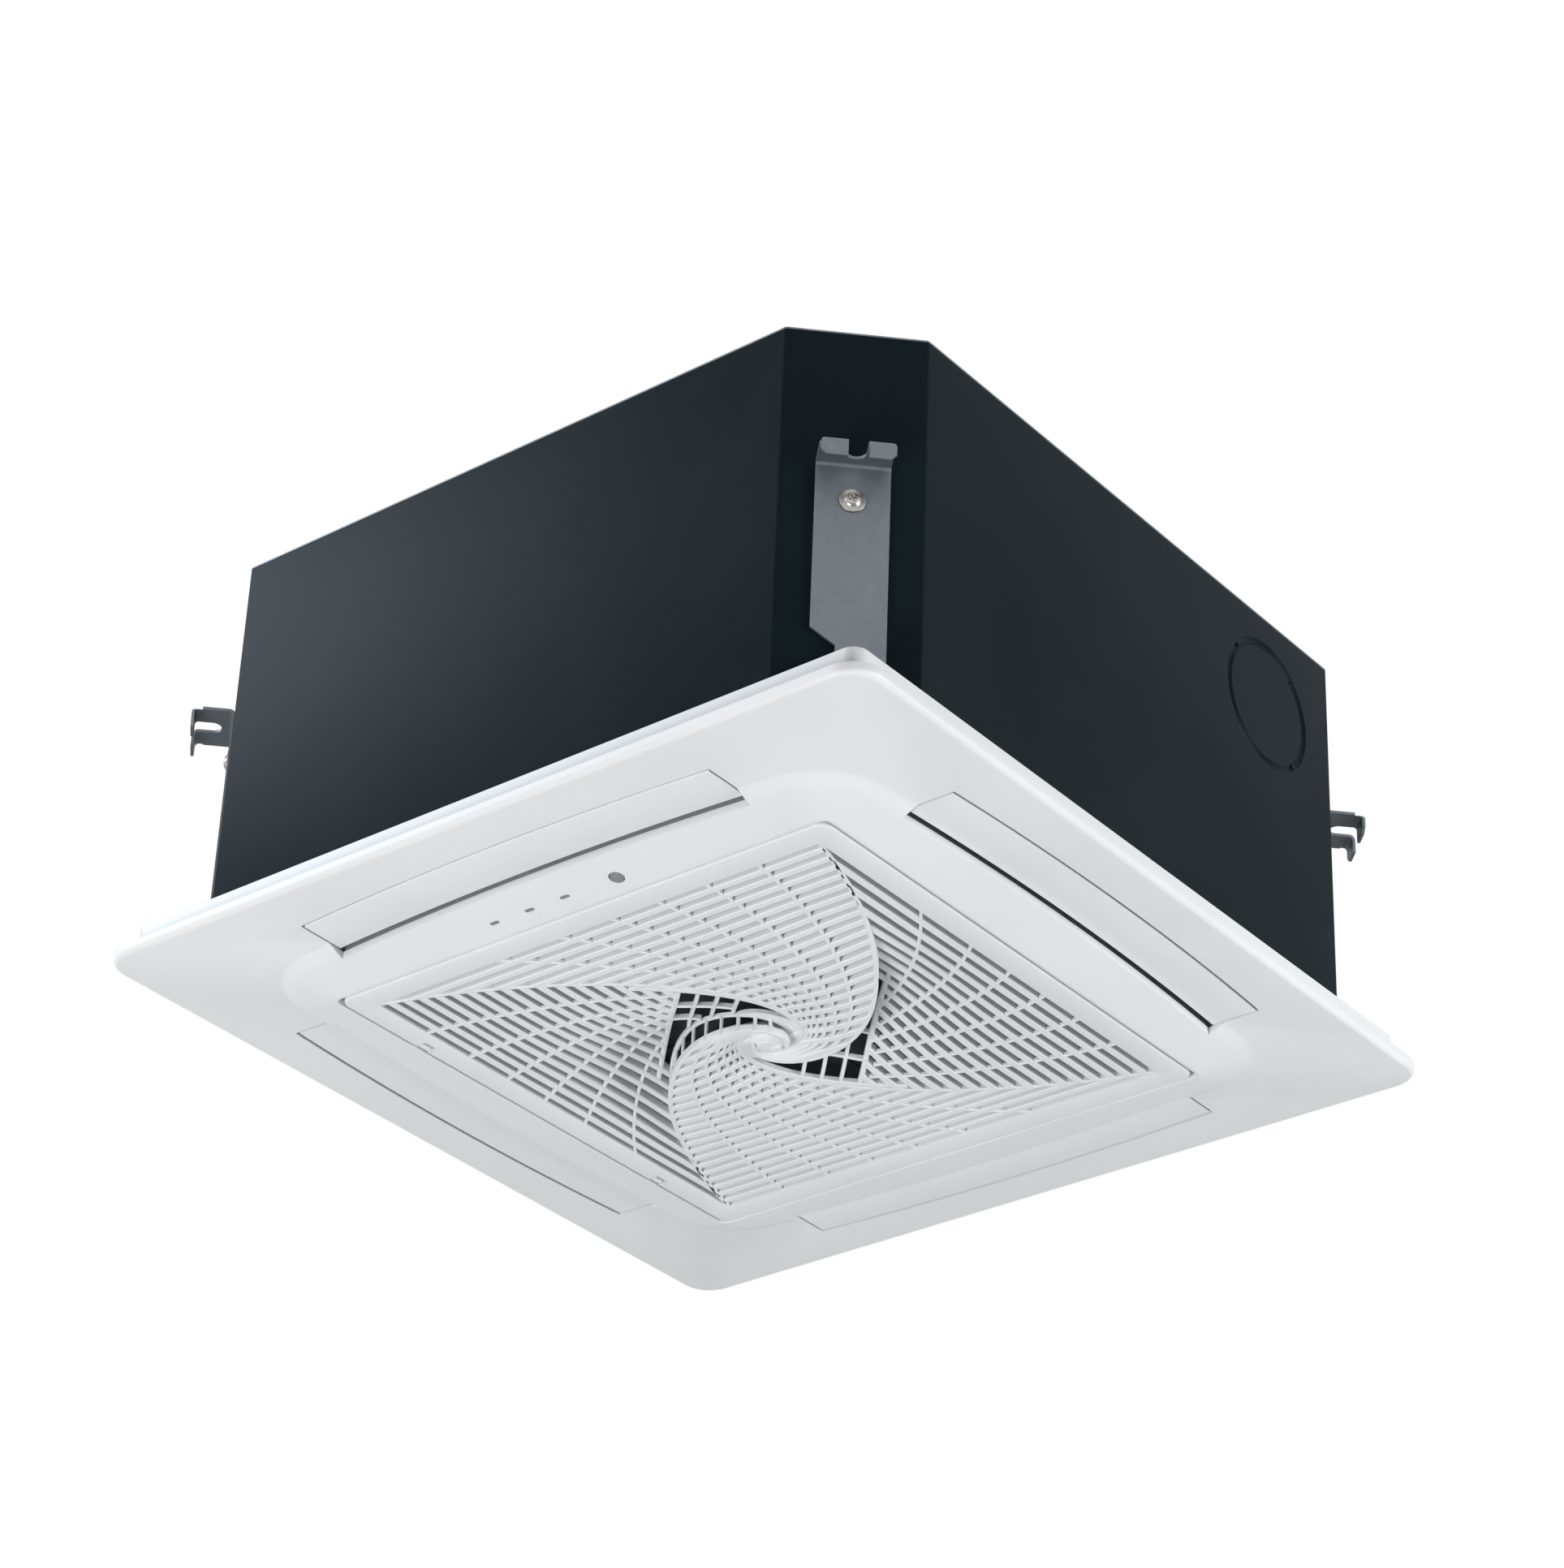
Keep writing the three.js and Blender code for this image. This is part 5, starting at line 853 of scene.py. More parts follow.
# %% [markdown]
# ## Spokes
# Thin curved ribs tie the slats together: the spokes, at equal shares between the seams. Every
# rib of the grille is a ribbon, a small section with eased front edges led along a curve, and one
# helper makes them all. Its width, front and back may change from point to point.

# %% Ribbons and spokes
SPOKES = 7
SPOKE_WIDTH, SPOKE_DEPTH = 2.3, 2.6
RIB_SINK = 0.15


def ribbon(run, width_of, front_of, back_of, flat=0.65, ease=0.4):
    """A rib along a plane curve, from what tells its width, front and back at a point."""
    rings = []
    last = len(run) - 1
    for i, point in enumerate(run):
        ahead = run[min(i + 1, last)] - run[max(i - 1, 0)]
        side = Vector((-ahead.y, ahead.x)).normalized() * width_of(point) / 2
        front = front_of(point)
        back = min(back_of(point), FILTER_UNDERSIDE)
        section = [(-1, back), (-1, front + ease), (-flat, front)]
        section += [(flat, front), (1, front + ease), (1, back)]
        rings.append([(*(point + share * side), z) for share, z in section])
    return loft(rings)


def sail_rib(run, width, depth, deep):
    """A rib of one width and depth whose front lies a hair behind the face of its sail."""
    def front_of(point):
        return sail_height(point.x, point.y, deep) + RIB_SINK

    return ribbon(run, lambda point: width, front_of, lambda point: front_of(point) + depth)


def radii(start, end, count):
    """Radii from a start to an end, each the same share of the one before."""
    return [start * (end / start) ** share for share in spread(0, 1, count)]


def spoke(share, deep):
    def inside_border(radius):
        return max(map(abs, spoke_point(share, radius))) < PERFORATED_HALF + 1

    start = halved(HUB_RADIUS, SEAM_START, inside_border, rounds=20)
    run = [spoke_point(share, radius) for radius in radii(start, HUB_RADIUS - 1, 40)]
    kept = [point for point in run if not (deep and in_window(*point))]
    return sail_rib(kept, SPOKE_WIDTH, SPOKE_DEPTH, deep)


for deep in sails:
    sails[deep] += [spoke(i / SPOKES, deep) for i in range(1, SPOKES)]
print(SPOKES - 1, "spokes on each sail")

# %% [markdown]
# ## Seams
# The seam after a deep sail is flush with both sails. The seam before it has a step: there the
# proud sail hangs low and the deep one stands high, and far from the hub one rib closes the step
# like a wall. Near the hub the wall opens into a rib on each edge, with round posts between them.

# %% Seams
SEAM_WIDTH, SEAM_NARROW, SEAM_FULL = 3.2, 0.45, 90
SEAM_DEPTH = 5.2
HANGING_DEPTH, RAISED_DEPTH = 5, 3.4
WALL_OPENS = 118
POST_RADIUS = 1.3


def wall_strip(start, end, count, edge, back_edge, depth):
    """A rib on the stepped seam, from one edge's front to a depth behind another's."""
    def width_of(point):
        widening = smooth(HUB_RADIUS, SEAM_FULL, point.length)
        return SEAM_WIDTH * (SEAM_NARROW + (1 - SEAM_NARROW) * widening)

    run = [spoke_point(0, radius) for radius in radii(start, end, count)]
    return ribbon(run, width_of, lambda point: seam_heights(point.length)[edge],
                  lambda point: seam_heights(point.length)[back_edge] + depth, flat=0.6, ease=0.5)


HANGING, RAISED = 0, 1
SEAM_END = HUB_RADIUS - 1
sails[True] += [
    wall_strip(SEAM_START, WALL_OPENS, 16, HANGING, RAISED, SLAT_DEPTH),
    wall_strip(WALL_OPENS, SEAM_END, 24, HANGING, HANGING, HANGING_DEPTH),
    wall_strip(WALL_OPENS, SEAM_END, 24, RAISED, RAISED, RAISED_DEPTH),
]
for radius in radii(WALL_OPENS - 6, HUB_RADIUS + 8, 9):
    low, high = seam_heights(radius)
    at = spoke_point(0, radius)
    post = turned([(POST_RADIUS, low + 0.5), (POST_RADIUS, high + 1)], 12, x=at.x, y=at.y)
    sails[True].append(post)
level_run = [spoke_point(1, radius) for radius in radii(SEAM_START, SEAM_END, 40)]
sails[True].append(sail_rib(level_run, SEAM_WIDTH, SEAM_DEPTH, True))
print("the step is", round(high - low, 1), "mm high at the last post")

# %% [markdown]
# ## Windows beside the hub
# A deep sail has an open window between a chord and the hub. Its posts run one way along the
# diagonals, its rails the other way, from the first seam to a thin edge beside the last one. Next
# to the hub the window is closed by a small shelf of wedges.

# %% Window posts, rails and shelf
POST_PITCH = 13
POST_SPAN = (-90, 100)
RAIL_PLACES = (-2, 26, 62)
BAR_WIDTH, CHORD_WIDTH, EDGE_WIDTH = 2.4, 3.4, 5
BAR_DEPTH = 3.6
WINDOW_FIRST, WINDOW_LAST, WINDOW_EDGE = 0.04, 0.93, 0.96
EDGE_START = 110
SHELF_RADIUS, SHELF_THICKNESS, SHELF_WEDGES = 30, 3, 10


def diagonal(outwards, along):
    """A point of the window, from its distance outwards and its place along the chord."""
    return Vector((outwards + along, along - outwards)) / math.sqrt(2)


def window_bar(points, width):
    """A bar along the stretch of a straight line that lies between the window's two edges."""
    run = [p for p in points if WINDOW_FIRST <= share_at(*p) <= WINDOW_LAST]
    run = [p for p in run if p.length > HUB_RADIUS]
    return [sail_rib(run, width, BAR_DEPTH, True)] if len(run) > 2 else []


def shelf_wedge(shares):
    rings = []
    for radius in radii(SHELF_RADIUS, HUB_RADIUS - 1, 6):
        fronts = [spoke_point(share, radius) for share in shares]
        fronts = [(*point, sail_height(*point, True)) for point in fronts]
        rings.append(fronts + [(x, y, z + SHELF_THICKNESS) for x, y, z in reversed(fronts)])
    return loft(rings)


window = []
for i in range(4):
    outwards = WINDOW_CHORD - i * POST_PITCH
    line = [diagonal(outwards, along) for along in range(*POST_SPAN)]
    window += window_bar(line, BAR_WIDTH if i else CHORD_WIDTH)
for along in RAIL_PLACES:
    line = [diagonal(p, along) for p in range(WINDOW_CHORD - 3 * POST_PITCH, WINDOW_CHORD + 1)]
    window += window_bar(line, BAR_WIDTH)
edge_run = [spoke_point(WINDOW_EDGE, radius) for radius in radii(EDGE_START, HUB_RADIUS, 30)]
window.append(sail_rib(edge_run, EDGE_WIDTH, BAR_DEPTH, True))
wedge_ends = spread(0, 1, SHELF_WEDGES)
window += [shelf_wedge(shares) for shares in zip(wedge_ends, wedge_ends[1:])]
sails[True] += window
print(len(window), "shells in a window")

# %% [markdown]
# ## Border, hub and filter seat
# Round the sails runs a flat border with a rounded outer edge, which is what the hand feels when
# the grille is opened. Behind it stands the low wall that holds the air filter, and the hub is a
# shallow turned cap that the sails run into. A cap's profile starts a hair from its axis, so that
# no ring shrinks to a point. The border is notched for the two hinge lugs.

# %% Border, seat and hub
GRILLE_HALF, GRILLE_CORNER = 199.5, 9
GRILLE_BACK = -16
SEAT_HALF, SEAT_CORNER = 188, 5
SEAT_TOP = -2.5
HUB_FACE, HUB_HOLLOW, HUB_FOOT = -25.6, -20, -13
HUB_SKIRT = HUB_RADIUS + 1.5
NEAR_AXIS = 0.05
NOTCH_HALF = 5.5
GRILLE_PIN_RADIUS, GRILLE_PIN_HALF = 1.5, 6.5
border_rings = [
    (GRILLE_HALF, GRILLE_CORNER, GRILLE_BACK),
    (GRILLE_HALF, GRILLE_CORNER, GRILLE_FACE + 1.5),
    (GRILLE_HALF - 0.25, GRILLE_CORNER - 0.25, GRILLE_FACE + 0.7),
    (GRILLE_HALF - 0.75, GRILLE_CORNER - 0.75, GRILLE_FACE + 0.2),
    (GRILLE_HALF - 1.5, GRILLE_CORNER - 1.5, GRILLE_FACE),
    (PERFORATED_HALF + 1.2, 3, GRILLE_FACE),
    (PERFORATED_HALF + 0.3, 2.4, GRILLE_FACE + 0.3),
    (PERFORATED_HALF, 2, GRILLE_FACE + 1),
    (PERFORATED_HALF, 2, GRILLE_BACK),
]
seat_rings = [
    (SEAT_HALF, SEAT_CORNER, GRILLE_BACK - 1),
    (SEAT_HALF, SEAT_CORNER, SEAT_TOP),
    (SEAT_HALF - 2, SEAT_CORNER - 2, SEAT_TOP),
    (SEAT_HALF - 2, SEAT_CORNER - 2, SEAT_TOP - 1.5),
    (SEAT_HALF - 5, SEAT_CORNER - 4, SEAT_TOP - 1.5),
    (SEAT_HALF - 5, SEAT_CORNER - 4, SEAT_TOP - 3.5),
    (SEAT_HALF - 2, SEAT_CORNER - 2, SEAT_TOP - 5),
    (SEAT_HALF - 2, SEAT_CORNER - 2, GRILLE_BACK - 1),
]
hub_profile = [
    (NEAR_AXIS, HUB_FACE), (5, HUB_FACE + 0.1), (9, HUB_FACE + 0.6), (HUB_RADIUS, HUB_FACE + 1.6),
    (HUB_SKIRT, HUB_FACE + 3.2), (HUB_SKIRT, HUB_FOOT), (HUB_RADIUS - 3, HUB_FOOT),
    (HUB_RADIUS - 5, HUB_HOLLOW), (NEAR_AXIS, HUB_HOLLOW),
]
border = loft([rounded_square(*r, corner_steps=8, side_steps=4) for r in border_rings], True)
seat = loft([rounded_square(*r, corner_steps=6, side_steps=2) for r in seat_rings], True)
notch_ends = (HINGE_Y - 6, GRILLE_HALF + 1, GRILLE_FACE - 1, GRILLE_BACK + 1)
notches = [box(x - NOTCH_HALF, x + NOTCH_HALF, *notch_ends) for x in hinge_xs]
swirl = [turned(hub_profile), seat]
for x in hinge_xs:
    ends = (x - GRILLE_PIN_HALF, x + GRILLE_PIN_HALF)
    swirl.append(pin(GRILLE_PIN_RADIUS, *ends, HINGE_Y, HINGE_Z))
for side in range(4):
    swirl += [moved(shell, quarter_turn(side)) for shell in sails[side % 2 == 0]]
piece("swirl_grille", swirl, "white_plastic", "grille", ["intake_grille"], crease=40)
piece("grille_border", cut_mesh("grille_border", border, notches), "white_plastic", "grille")
print(len(swirl), "shells in the swirl")

# %% [markdown]
# ## The sheet-metal body
# The body is one folded sheet: a square tube with cut corners. A press brake leaves each fold
# with a small radius, and that radius catches the thin light line one sees along an edge. So the
# outline gets a short arc at each fold, and the sheet is a closed section led round it. A hem is
# turned in at the bottom.

# %% Outline of the folded sheet
BODY_HALF = 292
BODY_CHAMFER = 63
BODY_DIAGONAL = (2 * BODY_HALF - BODY_CHAMFER) / math.sqrt(2)
BODY_BOTTOM = 20.5
LID_TOP = 280
SHEET = 1.5
LID_BOTTOM = LID_TOP - SHEET
FOLD = 3


def rounded_corner(before, corner, after, reach, steps):
    """The points of a soft arc that takes the place of a corner between two straight runs."""
    start = corner + (before - corner).normalized() * reach
    end = corner + (after - corner).normalized() * reach
    shares = spread(0, 1, steps)
    return [start * (1 - t) ** 2 + corner * 2 * t * (1 - t) + end * t * t for t in shares]


def fold_outline(inset, height):
    """The octagon of the body with rounded folds, drawn in by an inset."""
    half = BODY_HALF - inset
    near = math.sqrt(2) * (BODY_DIAGONAL - inset) - half
    corners = []
    for side in range(4):
        turn = Matrix.Rotation(side * QUARTER, 2)
        corners += [turn @ Vector((half, near)), turn @ Vector((near, half))]
    reach = max(FOLD - inset, 1) * math.tan(QUARTER / 4)
    points = []
    for i, corner in enumerate(corners):
        points += rounded_corner(corners[i - 1], corner, corners[(i + 1) % 8], reach, 4)
    return [(x, y, height) for x, y in points]


print("body", 2 * BODY_HALF, "mm square,", LID_TOP, "mm above the ceiling")

# %% [markdown]
# ## The casing and its openings
# Four openings are cut in the walls: a round one for fresh air, a squarish one for the pipes, and
# two small ones for the drain and the mains cable. Each tool is a short bar through the wall.

# %% Casing
HEM = 12
KNOCKOUT_RADIUS = 48
KNOCKOUT_X, KNOCKOUT_Z = 152, 211
DRAIN_Y, DRAIN_Z, DRAIN_HOLE = 190, 200, 17
GLAND_Y, GLAND_Z, GLAND_HOLE = 60, 120, 8.3
PIPE_OPENING = (155, 219, 105, 167)
through_wall = (BODY_HALF - 5, BODY_HALF + 5)
casing_rings = [
    (0, BODY_BOTTOM + 1), (0, LID_BOTTOM - 0.3), (SHEET, LID_BOTTOM - 0.3),
    (SHEET, BODY_BOTTOM + SHEET + 0.5), (HEM, BODY_BOTTOM + SHEET), (HEM, BODY_BOTTOM),
    (1, BODY_BOTTOM), (0.3, BODY_BOTTOM + 0.3),
]


def bar_x(radius, y, z):
    return turned_x([(radius, x) for x in through_wall], y, z, 64)


fresh_air = turned([(KNOCKOUT_RADIUS, z) for z in through_wall], 64)
fresh_air_place = Matrix.Translation((KNOCKOUT_X, 0, KNOCKOUT_Z))
casing_tools = [
    moved(fresh_air, fresh_air_place @ Matrix.Rotation(QUARTER, 4, "X")),
    box(*PIPE_OPENING[:2], *through_wall, *PIPE_OPENING[2:]),
    bar_x(DRAIN_HOLE, DRAIN_Y, DRAIN_Z),
    bar_x(GLAND_HOLE, GLAND_Y, GLAND_Z),
]
casing_walls = loft([fold_outline(*ring) for ring in casing_rings], looped=True)
casing = cut_mesh("casing", casing_walls, casing_tools)
piece("casing_sheet", casing, "dark_casing", "unit", ["casing_shell"])

# %% [markdown]
# ## The knock-out plate
# A round plate closes the opening for fresh air. It stays attached by small bridges until an
# installer strikes it out, so a ring groove shows round it, crossed by the bridges. The plate
# is a turned shape, and its groove is round at the bottom: its flanks mirror different parts of
# the studio, so it shows as a soft line.

# %% Knock-out
RING_GROOVE, RING_DEPTH = 5.5, 1.6
PLATE_FACE, PLATE_STEP, PLATE_BACK = 0.2, 1.9, 3.7
BRIDGE_HALF = 2
plate_profile = [(NEAR_AXIS, PLATE_FACE), (KNOCKOUT_RADIUS - 12, PLATE_FACE)]
for t in spread(0, 1, 12):
    across = KNOCKOUT_RADIUS - 0.15 - RING_GROOVE * (1 - t)
    plate_profile.append((across, PLATE_FACE + RING_DEPTH * math.sin(math.pi * t)))
plate_profile += [
    (KNOCKOUT_RADIUS - 0.1, PLATE_STEP), (KNOCKOUT_RADIUS + 4, PLATE_STEP),
    (KNOCKOUT_RADIUS + 4, PLATE_BACK), (NEAR_AXIS, PLATE_BACK),
]
bridge = box(KNOCKOUT_RADIUS - 4, KNOCKOUT_RADIUS + 0.6, -BRIDGE_HALF, BRIDGE_HALF, 0.6, 1.8)
knockout = [moved(bridge, quarter_turn(i, QUARTER / 2)) for i in range(4)]
knockout.append(turned(plate_profile, 96))
knockout_place = Matrix.Translation((KNOCKOUT_X, -BODY_HALF, KNOCKOUT_Z))
knockout_place = knockout_place @ Matrix.Rotation(-QUARTER, 4, "X")
knockout = [moved(shell, knockout_place) for shell in knockout]
piece("knockout_plate", knockout, "dark_casing", "unit", ["knockout_cover"])

# %% [markdown]
# ## Hanger brackets
# A galvanised bracket is screwed to each cut corner. It is one bent strip: a plate on the body, a
# tab at the top with an open slot for the hanging rod, and two lips turned down to stop the nut
# from sliding out. The bends are quarter arcs of the strip, so I lead a thin section along its
# side view and cut the slot afterwards.

# %% Bracket strip
HANGER_WIDTH = 46
HANGER_SHEET = 2
HANGER_BOTTOM, HANGER_TOP = 26, 180
HANGER_REACH = 29
HANGER_LIP = 14
HANGER_SLOT = 12.7
SLOT_END = 15.5
HANGER_SCREW_Z, SCREW_HOLE = 152, 2.3
BEND = 2.4
TAB_ROUND = 5
NEAR = BODY_DIAGONAL + 0.3
FAR = NEAR + HANGER_REACH


def bracket_profile():
    """Closed side view: up the plate, over the bend, out to the lip and back inside."""
    root, lip = NEAR + HANGER_SHEET + BEND, FAR - HANGER_SHEET - BEND
    height = HANGER_TOP - HANGER_SHEET - BEND
    skins = []
    for radius in (BEND + HANGER_SHEET, BEND):
        skin = [(root - radius, HANGER_BOTTOM)]
        skin += arc(root, height, radius, math.pi, QUARTER, 5)
        skin += arc(lip, height, radius, QUARTER, 0, 5)
        skins.append(skin + [(lip + radius, HANGER_TOP - HANGER_LIP)])
    outside, inside = skins
    return outside + list(reversed(inside))


def bracket_cuts():
    """The rod's slot, the notch at the foot, the screw hole and the shaped ends of the lips."""
    half, slot = HANGER_WIDTH / 2, HANGER_SLOT / 2
    low, high = HANGER_TOP - HANGER_LIP, HANGER_TOP
    notch = [(-half - 1, HANGER_BOTTOM - 1), (-half / 3, HANGER_BOTTOM - 1)]
    notch += [(-half / 3, HANGER_BOTTOM + 22), (-half - 1, HANGER_BOTTOM + 34.5)]
    cuts = [
        box(NEAR + SLOT_END - 1.5, FAR + 3, -slot, slot, HANGER_TOP - 30, HANGER_TOP + 20),
        turned([(slot, HANGER_TOP - 20), (slot, HANGER_TOP + 20)], 32, x=NEAR + SLOT_END),
        prism_x(notch, NEAR - 1, NEAR + 4),
        turned_x([(SCREW_HOLE, NEAR - 1), (SCREW_HOLE, NEAR + 3)], 0, HANGER_SCREW_Z, 24),
    ]
    inner = half - TAB_ROUND
    bevel = [(half + 1, low - 1), (inner, low - 1), (half + 1, low + 5)]
    rounding = arc(inner, high - TAB_ROUND, TAB_ROUND, 0, QUARTER, 6)
    rounding += [(inner, high + 1), (half + 1, high + 1), (half + 1, high - TAB_ROUND)]
    for outline in (bevel, rounding):
        for side in (-1, 1):
            cuts.append(prism_x([(side * y, z) for y, z in outline], FAR - 7, FAR + 1))
    return cuts


def bracket_mesh():
    side_view = bracket_profile()
    ends = (-HANGER_WIDTH / 2, HANGER_WIDTH / 2)
    strip = loft([[(x, y, z) for x, z in side_view] for y in ends])
    return cut_mesh("hanger_strip", strip, bracket_cuts())


print("hanger slots", HANGER_SLOT, "mm wide")

# %% [markdown]
# ## Bracket screws
# The screw that holds a bracket has a low round head on a broad flange, with a cross recess. Even
# this small, the recess is what makes it read as a screw.

# %% Screw heads and the four hangers
FLANGE_RADIUS, HEAD_RADIUS, SHANK_RADIUS = 8.2, 5, 2
HEAD_HEIGHT = 3.1
RECESS_HALF, RECESS_WIDTH = 2.6, 0.55
RECESS_FLOOR = 1.7
head_profile = [
    (NEAR_AXIS, HEAD_HEIGHT), (2, 3.05), (3.6, 2.6), (4.7, 1.8), (HEAD_RADIUS, 1.1), (8, 0.8),
    (FLANGE_RADIUS, 0.5), (FLANGE_RADIUS, 0), (SHANK_RADIUS, 0), (SHANK_RADIUS, -3.5),
    (NEAR_AXIS, -3.5),
]


def cross_screw():
    recess = []
    for x, y in ((RECESS_HALF, RECESS_WIDTH), (RECESS_WIDTH, RECESS_HALF)):
        recess.append(box(-x, x, -y, y, RECESS_FLOOR, 4))
    mesh = cut_mesh("cross_screw", turned(head_profile, 32), recess)
    seat_x = BODY_DIAGONAL + 0.6 + HANGER_SHEET
    place = Matrix.Translation(Vector((seat_x, 0, HANGER_SCREW_Z)) * MM)
    mesh.transform(place @ Matrix.Rotation(QUARTER, 4, "Y") @ Matrix.Rotation(0.4, 4, "Z"))
    return mesh


for index, corner in enumerate(("back_right", "back_left", "front_left", "front_right")):
    strip, screw = bracket_mesh(), cross_screw()
    for mesh in (strip, screw):
        mesh.transform(quarter_turn(index, QUARTER / 2))
    strip_node, screw_node = f"hanger_bracket_{corner}", f"bracket_screw_{corner}"
    piece(f"hanger_strip_{corner}", strip, "galvanised_sheet", "unit", [strip_node])
    piece(f"cross_screw_{corner}", screw, "screw_steel", "unit", [screw_node])

# %% [markdown]
# ## The lid
# The lid is a galvanised sheet, stiffened by pressed swages: a ring over the motor and eight bars
# that run out from it. A pressed swage has sloping flanks and round shoulders, so each is a
# raised strip whose section falls off in four steps.

# %% Lid with its swages
SWAGE_FALL = [(0, 0), (0.8, 0.35), (2, 1.3), (3, 1.85), (3.8, 2)]
SWAGE_SINK, SWAGE_ROOT = 0.2, 0.8
RING_SWAGE = (88, 104)
BAR_SWAGE_START, BAR_SWAGE_END, BAR_SWAGE_HALF = 120, 260, 7
lid_rings = [(0, LID_BOTTOM), (0, LID_TOP - 0.4), (0.4, LID_TOP)]
swage_steps = [(inset, LID_TOP - SWAGE_SINK + height) for inset, height in SWAGE_FALL]


def ring_swage(inner, outer):
    rise = [(inner + inset, z) for inset, z in swage_steps]
    fall = [(outer - inset, z) for inset, z in reversed(swage_steps)]
    foot = LID_TOP - SWAGE_ROOT
    return turned([(inner, foot), *rise, *fall, (outer, foot)], 96, looped=True)


def bar_swage():
    middle = (BAR_SWAGE_START + BAR_SWAGE_END) / 2
    length_half = (BAR_SWAGE_END - BAR_SWAGE_START) / 2
    rings = []
    for inset, height in [(0, LID_TOP - SWAGE_ROOT), *swage_steps]:
        half = BAR_SWAGE_HALF - 0.9 * inset
        ring = rounded_slot(half, length_half - inset, height, steps=8)
        rings.append([(middle + y, x, z) for x, y, z in ring])
    return loft(rings)


lid_shells = [loft([fold_outline(*ring) for ring in lid_rings]), ring_swage(*RING_SWAGE)]
lid_shells += [moved(bar_swage(), quarter_turn(0, i * QUARTER / 2)) for i in range(8)]
piece("lid_sheet", lid_shells, "galvanised_sheet", "unit", ["top_panel"])
print(len(lid_shells) - 1, "swages on the lid")

# %% [markdown]
# ## Pipes and flare nuts
# Two copper pipes leave the body through a plate on the back, each with a flare nut. Inside, they
# bend towards the coil. Real tube bends are round, so each pipe is a loft of rings along a route
# of straight runs whose corners are replaced by short arcs. A ring stands square to the route, and
# turns as little as it can from the one before. The first needs a direction that isn't the route's.

# %% Copper pipes and brass nuts
BACK_REACH = 34
PIPE_START_X = 142.6
PIPE_ROW_Y = 219
PIPE_STEP_Y = PIPE_ROW_Y + 30
BEND_REACH = 12
TUBE_SIDES, TUBE_BORE, BORE_DEPTH = 24, 0.8, 6
NUT_BORE, NUT_BORE_DEPTH = 0.62, 5
FIRST_UP = Vector((0.31, 0.17, 0.94))


def soft_route(corners):
    """A route through corners that are rounded by short arcs."""
    corners = [Vector(corner) for corner in corners]
    route = [corners[0]]
    for before, corner, after in zip(corners, corners[1:], corners[2:]):
        route += rounded_corner(before, corner, after, BEND_REACH, 8)
    return route + [corners[-1]]


def tube(route, radius):
    """A tube along a route, with a blind bore in its last end."""
    rings, up = [], FIRST_UP
    last = len(route) - 1
    for i, point in enumerate(route):
        ahead = (route[min(i + 1, last)] - route[max(i - 1, 0)]).normalized()
        side = ahead.cross(up).normalized()
        up = side.cross(ahead).normalized()
        ring = arc(0, 0, radius, 0, 2 * math.pi, TUBE_SIDES)[:-1]
        rings.append([point + side * x + up * y for x, y in ring])
    end, rim = route[-1], rings[-1]
    inward = (route[-2] - end).normalized()
    for depth in (0, BORE_DEPTH):
        rings.append([end + (point - end) * TUBE_BORE + inward * depth for point in rim])
    return loft(rings)


def flare_nut(size, x, z):
    """A hexagon with eased ends and a collar, its axis along Y."""
    end = BODY_HALF + BACK_REACH + 3
    start = end - 1.6 * size
    shoulder = end - 0.5 * size
    levels = [(0.9, start), (1, start + 0.8), (1, shoulder - 0.05 * size), (0.86, shoulder)]
    levels += [(0.84, end - 0.6), (0.8, end), (0.8 * NUT_BORE, end)]
    levels += [(0.8 * NUT_BORE, end - NUT_BORE_DEPTH)]
    along_y = Matrix(((1, 0, 0, x), (0, 0, 1, 0), (0, 1, 0, z), (0, 0, 0, 1)))
    return moved(turned([(size * share, y) for share, y in levels], 6), along_y)


for name, radius, x, z, start_z in (("gas", 6.35, 172, 150, 92), ("liquid", 3.2, 200, 120, 66)):
    run = [(PIPE_START_X, PIPE_ROW_Y, start_z), (x, PIPE_ROW_Y, start_z)]
    run += [(x, PIPE_STEP_Y, start_z), (x, PIPE_STEP_Y, z), (x, BODY_HALF + BACK_REACH, z)]
    piece(f"{name}_tube", [tube(soft_route(run), radius)], "copper_tube", "unit", [f"{name}_pipe"])
    nut = flare_nut(1.5 * radius + 4, x, z)
    piece(f"{name}_flare_nut", [nut], "brass_nut", "unit", [f"{name}_pipe_nut"], crease=20)

# %% [markdown]
# ## Drain socket and cable gland
# On the right side the condensate leaves through a plain black socket, and the mains cable enters
# through a gland. Neither has its hose or cable here. Both are turned shapes round the X axis, and
# their profiles are distances from that axis and from the wall. Ribs give the gland's nut a grip.

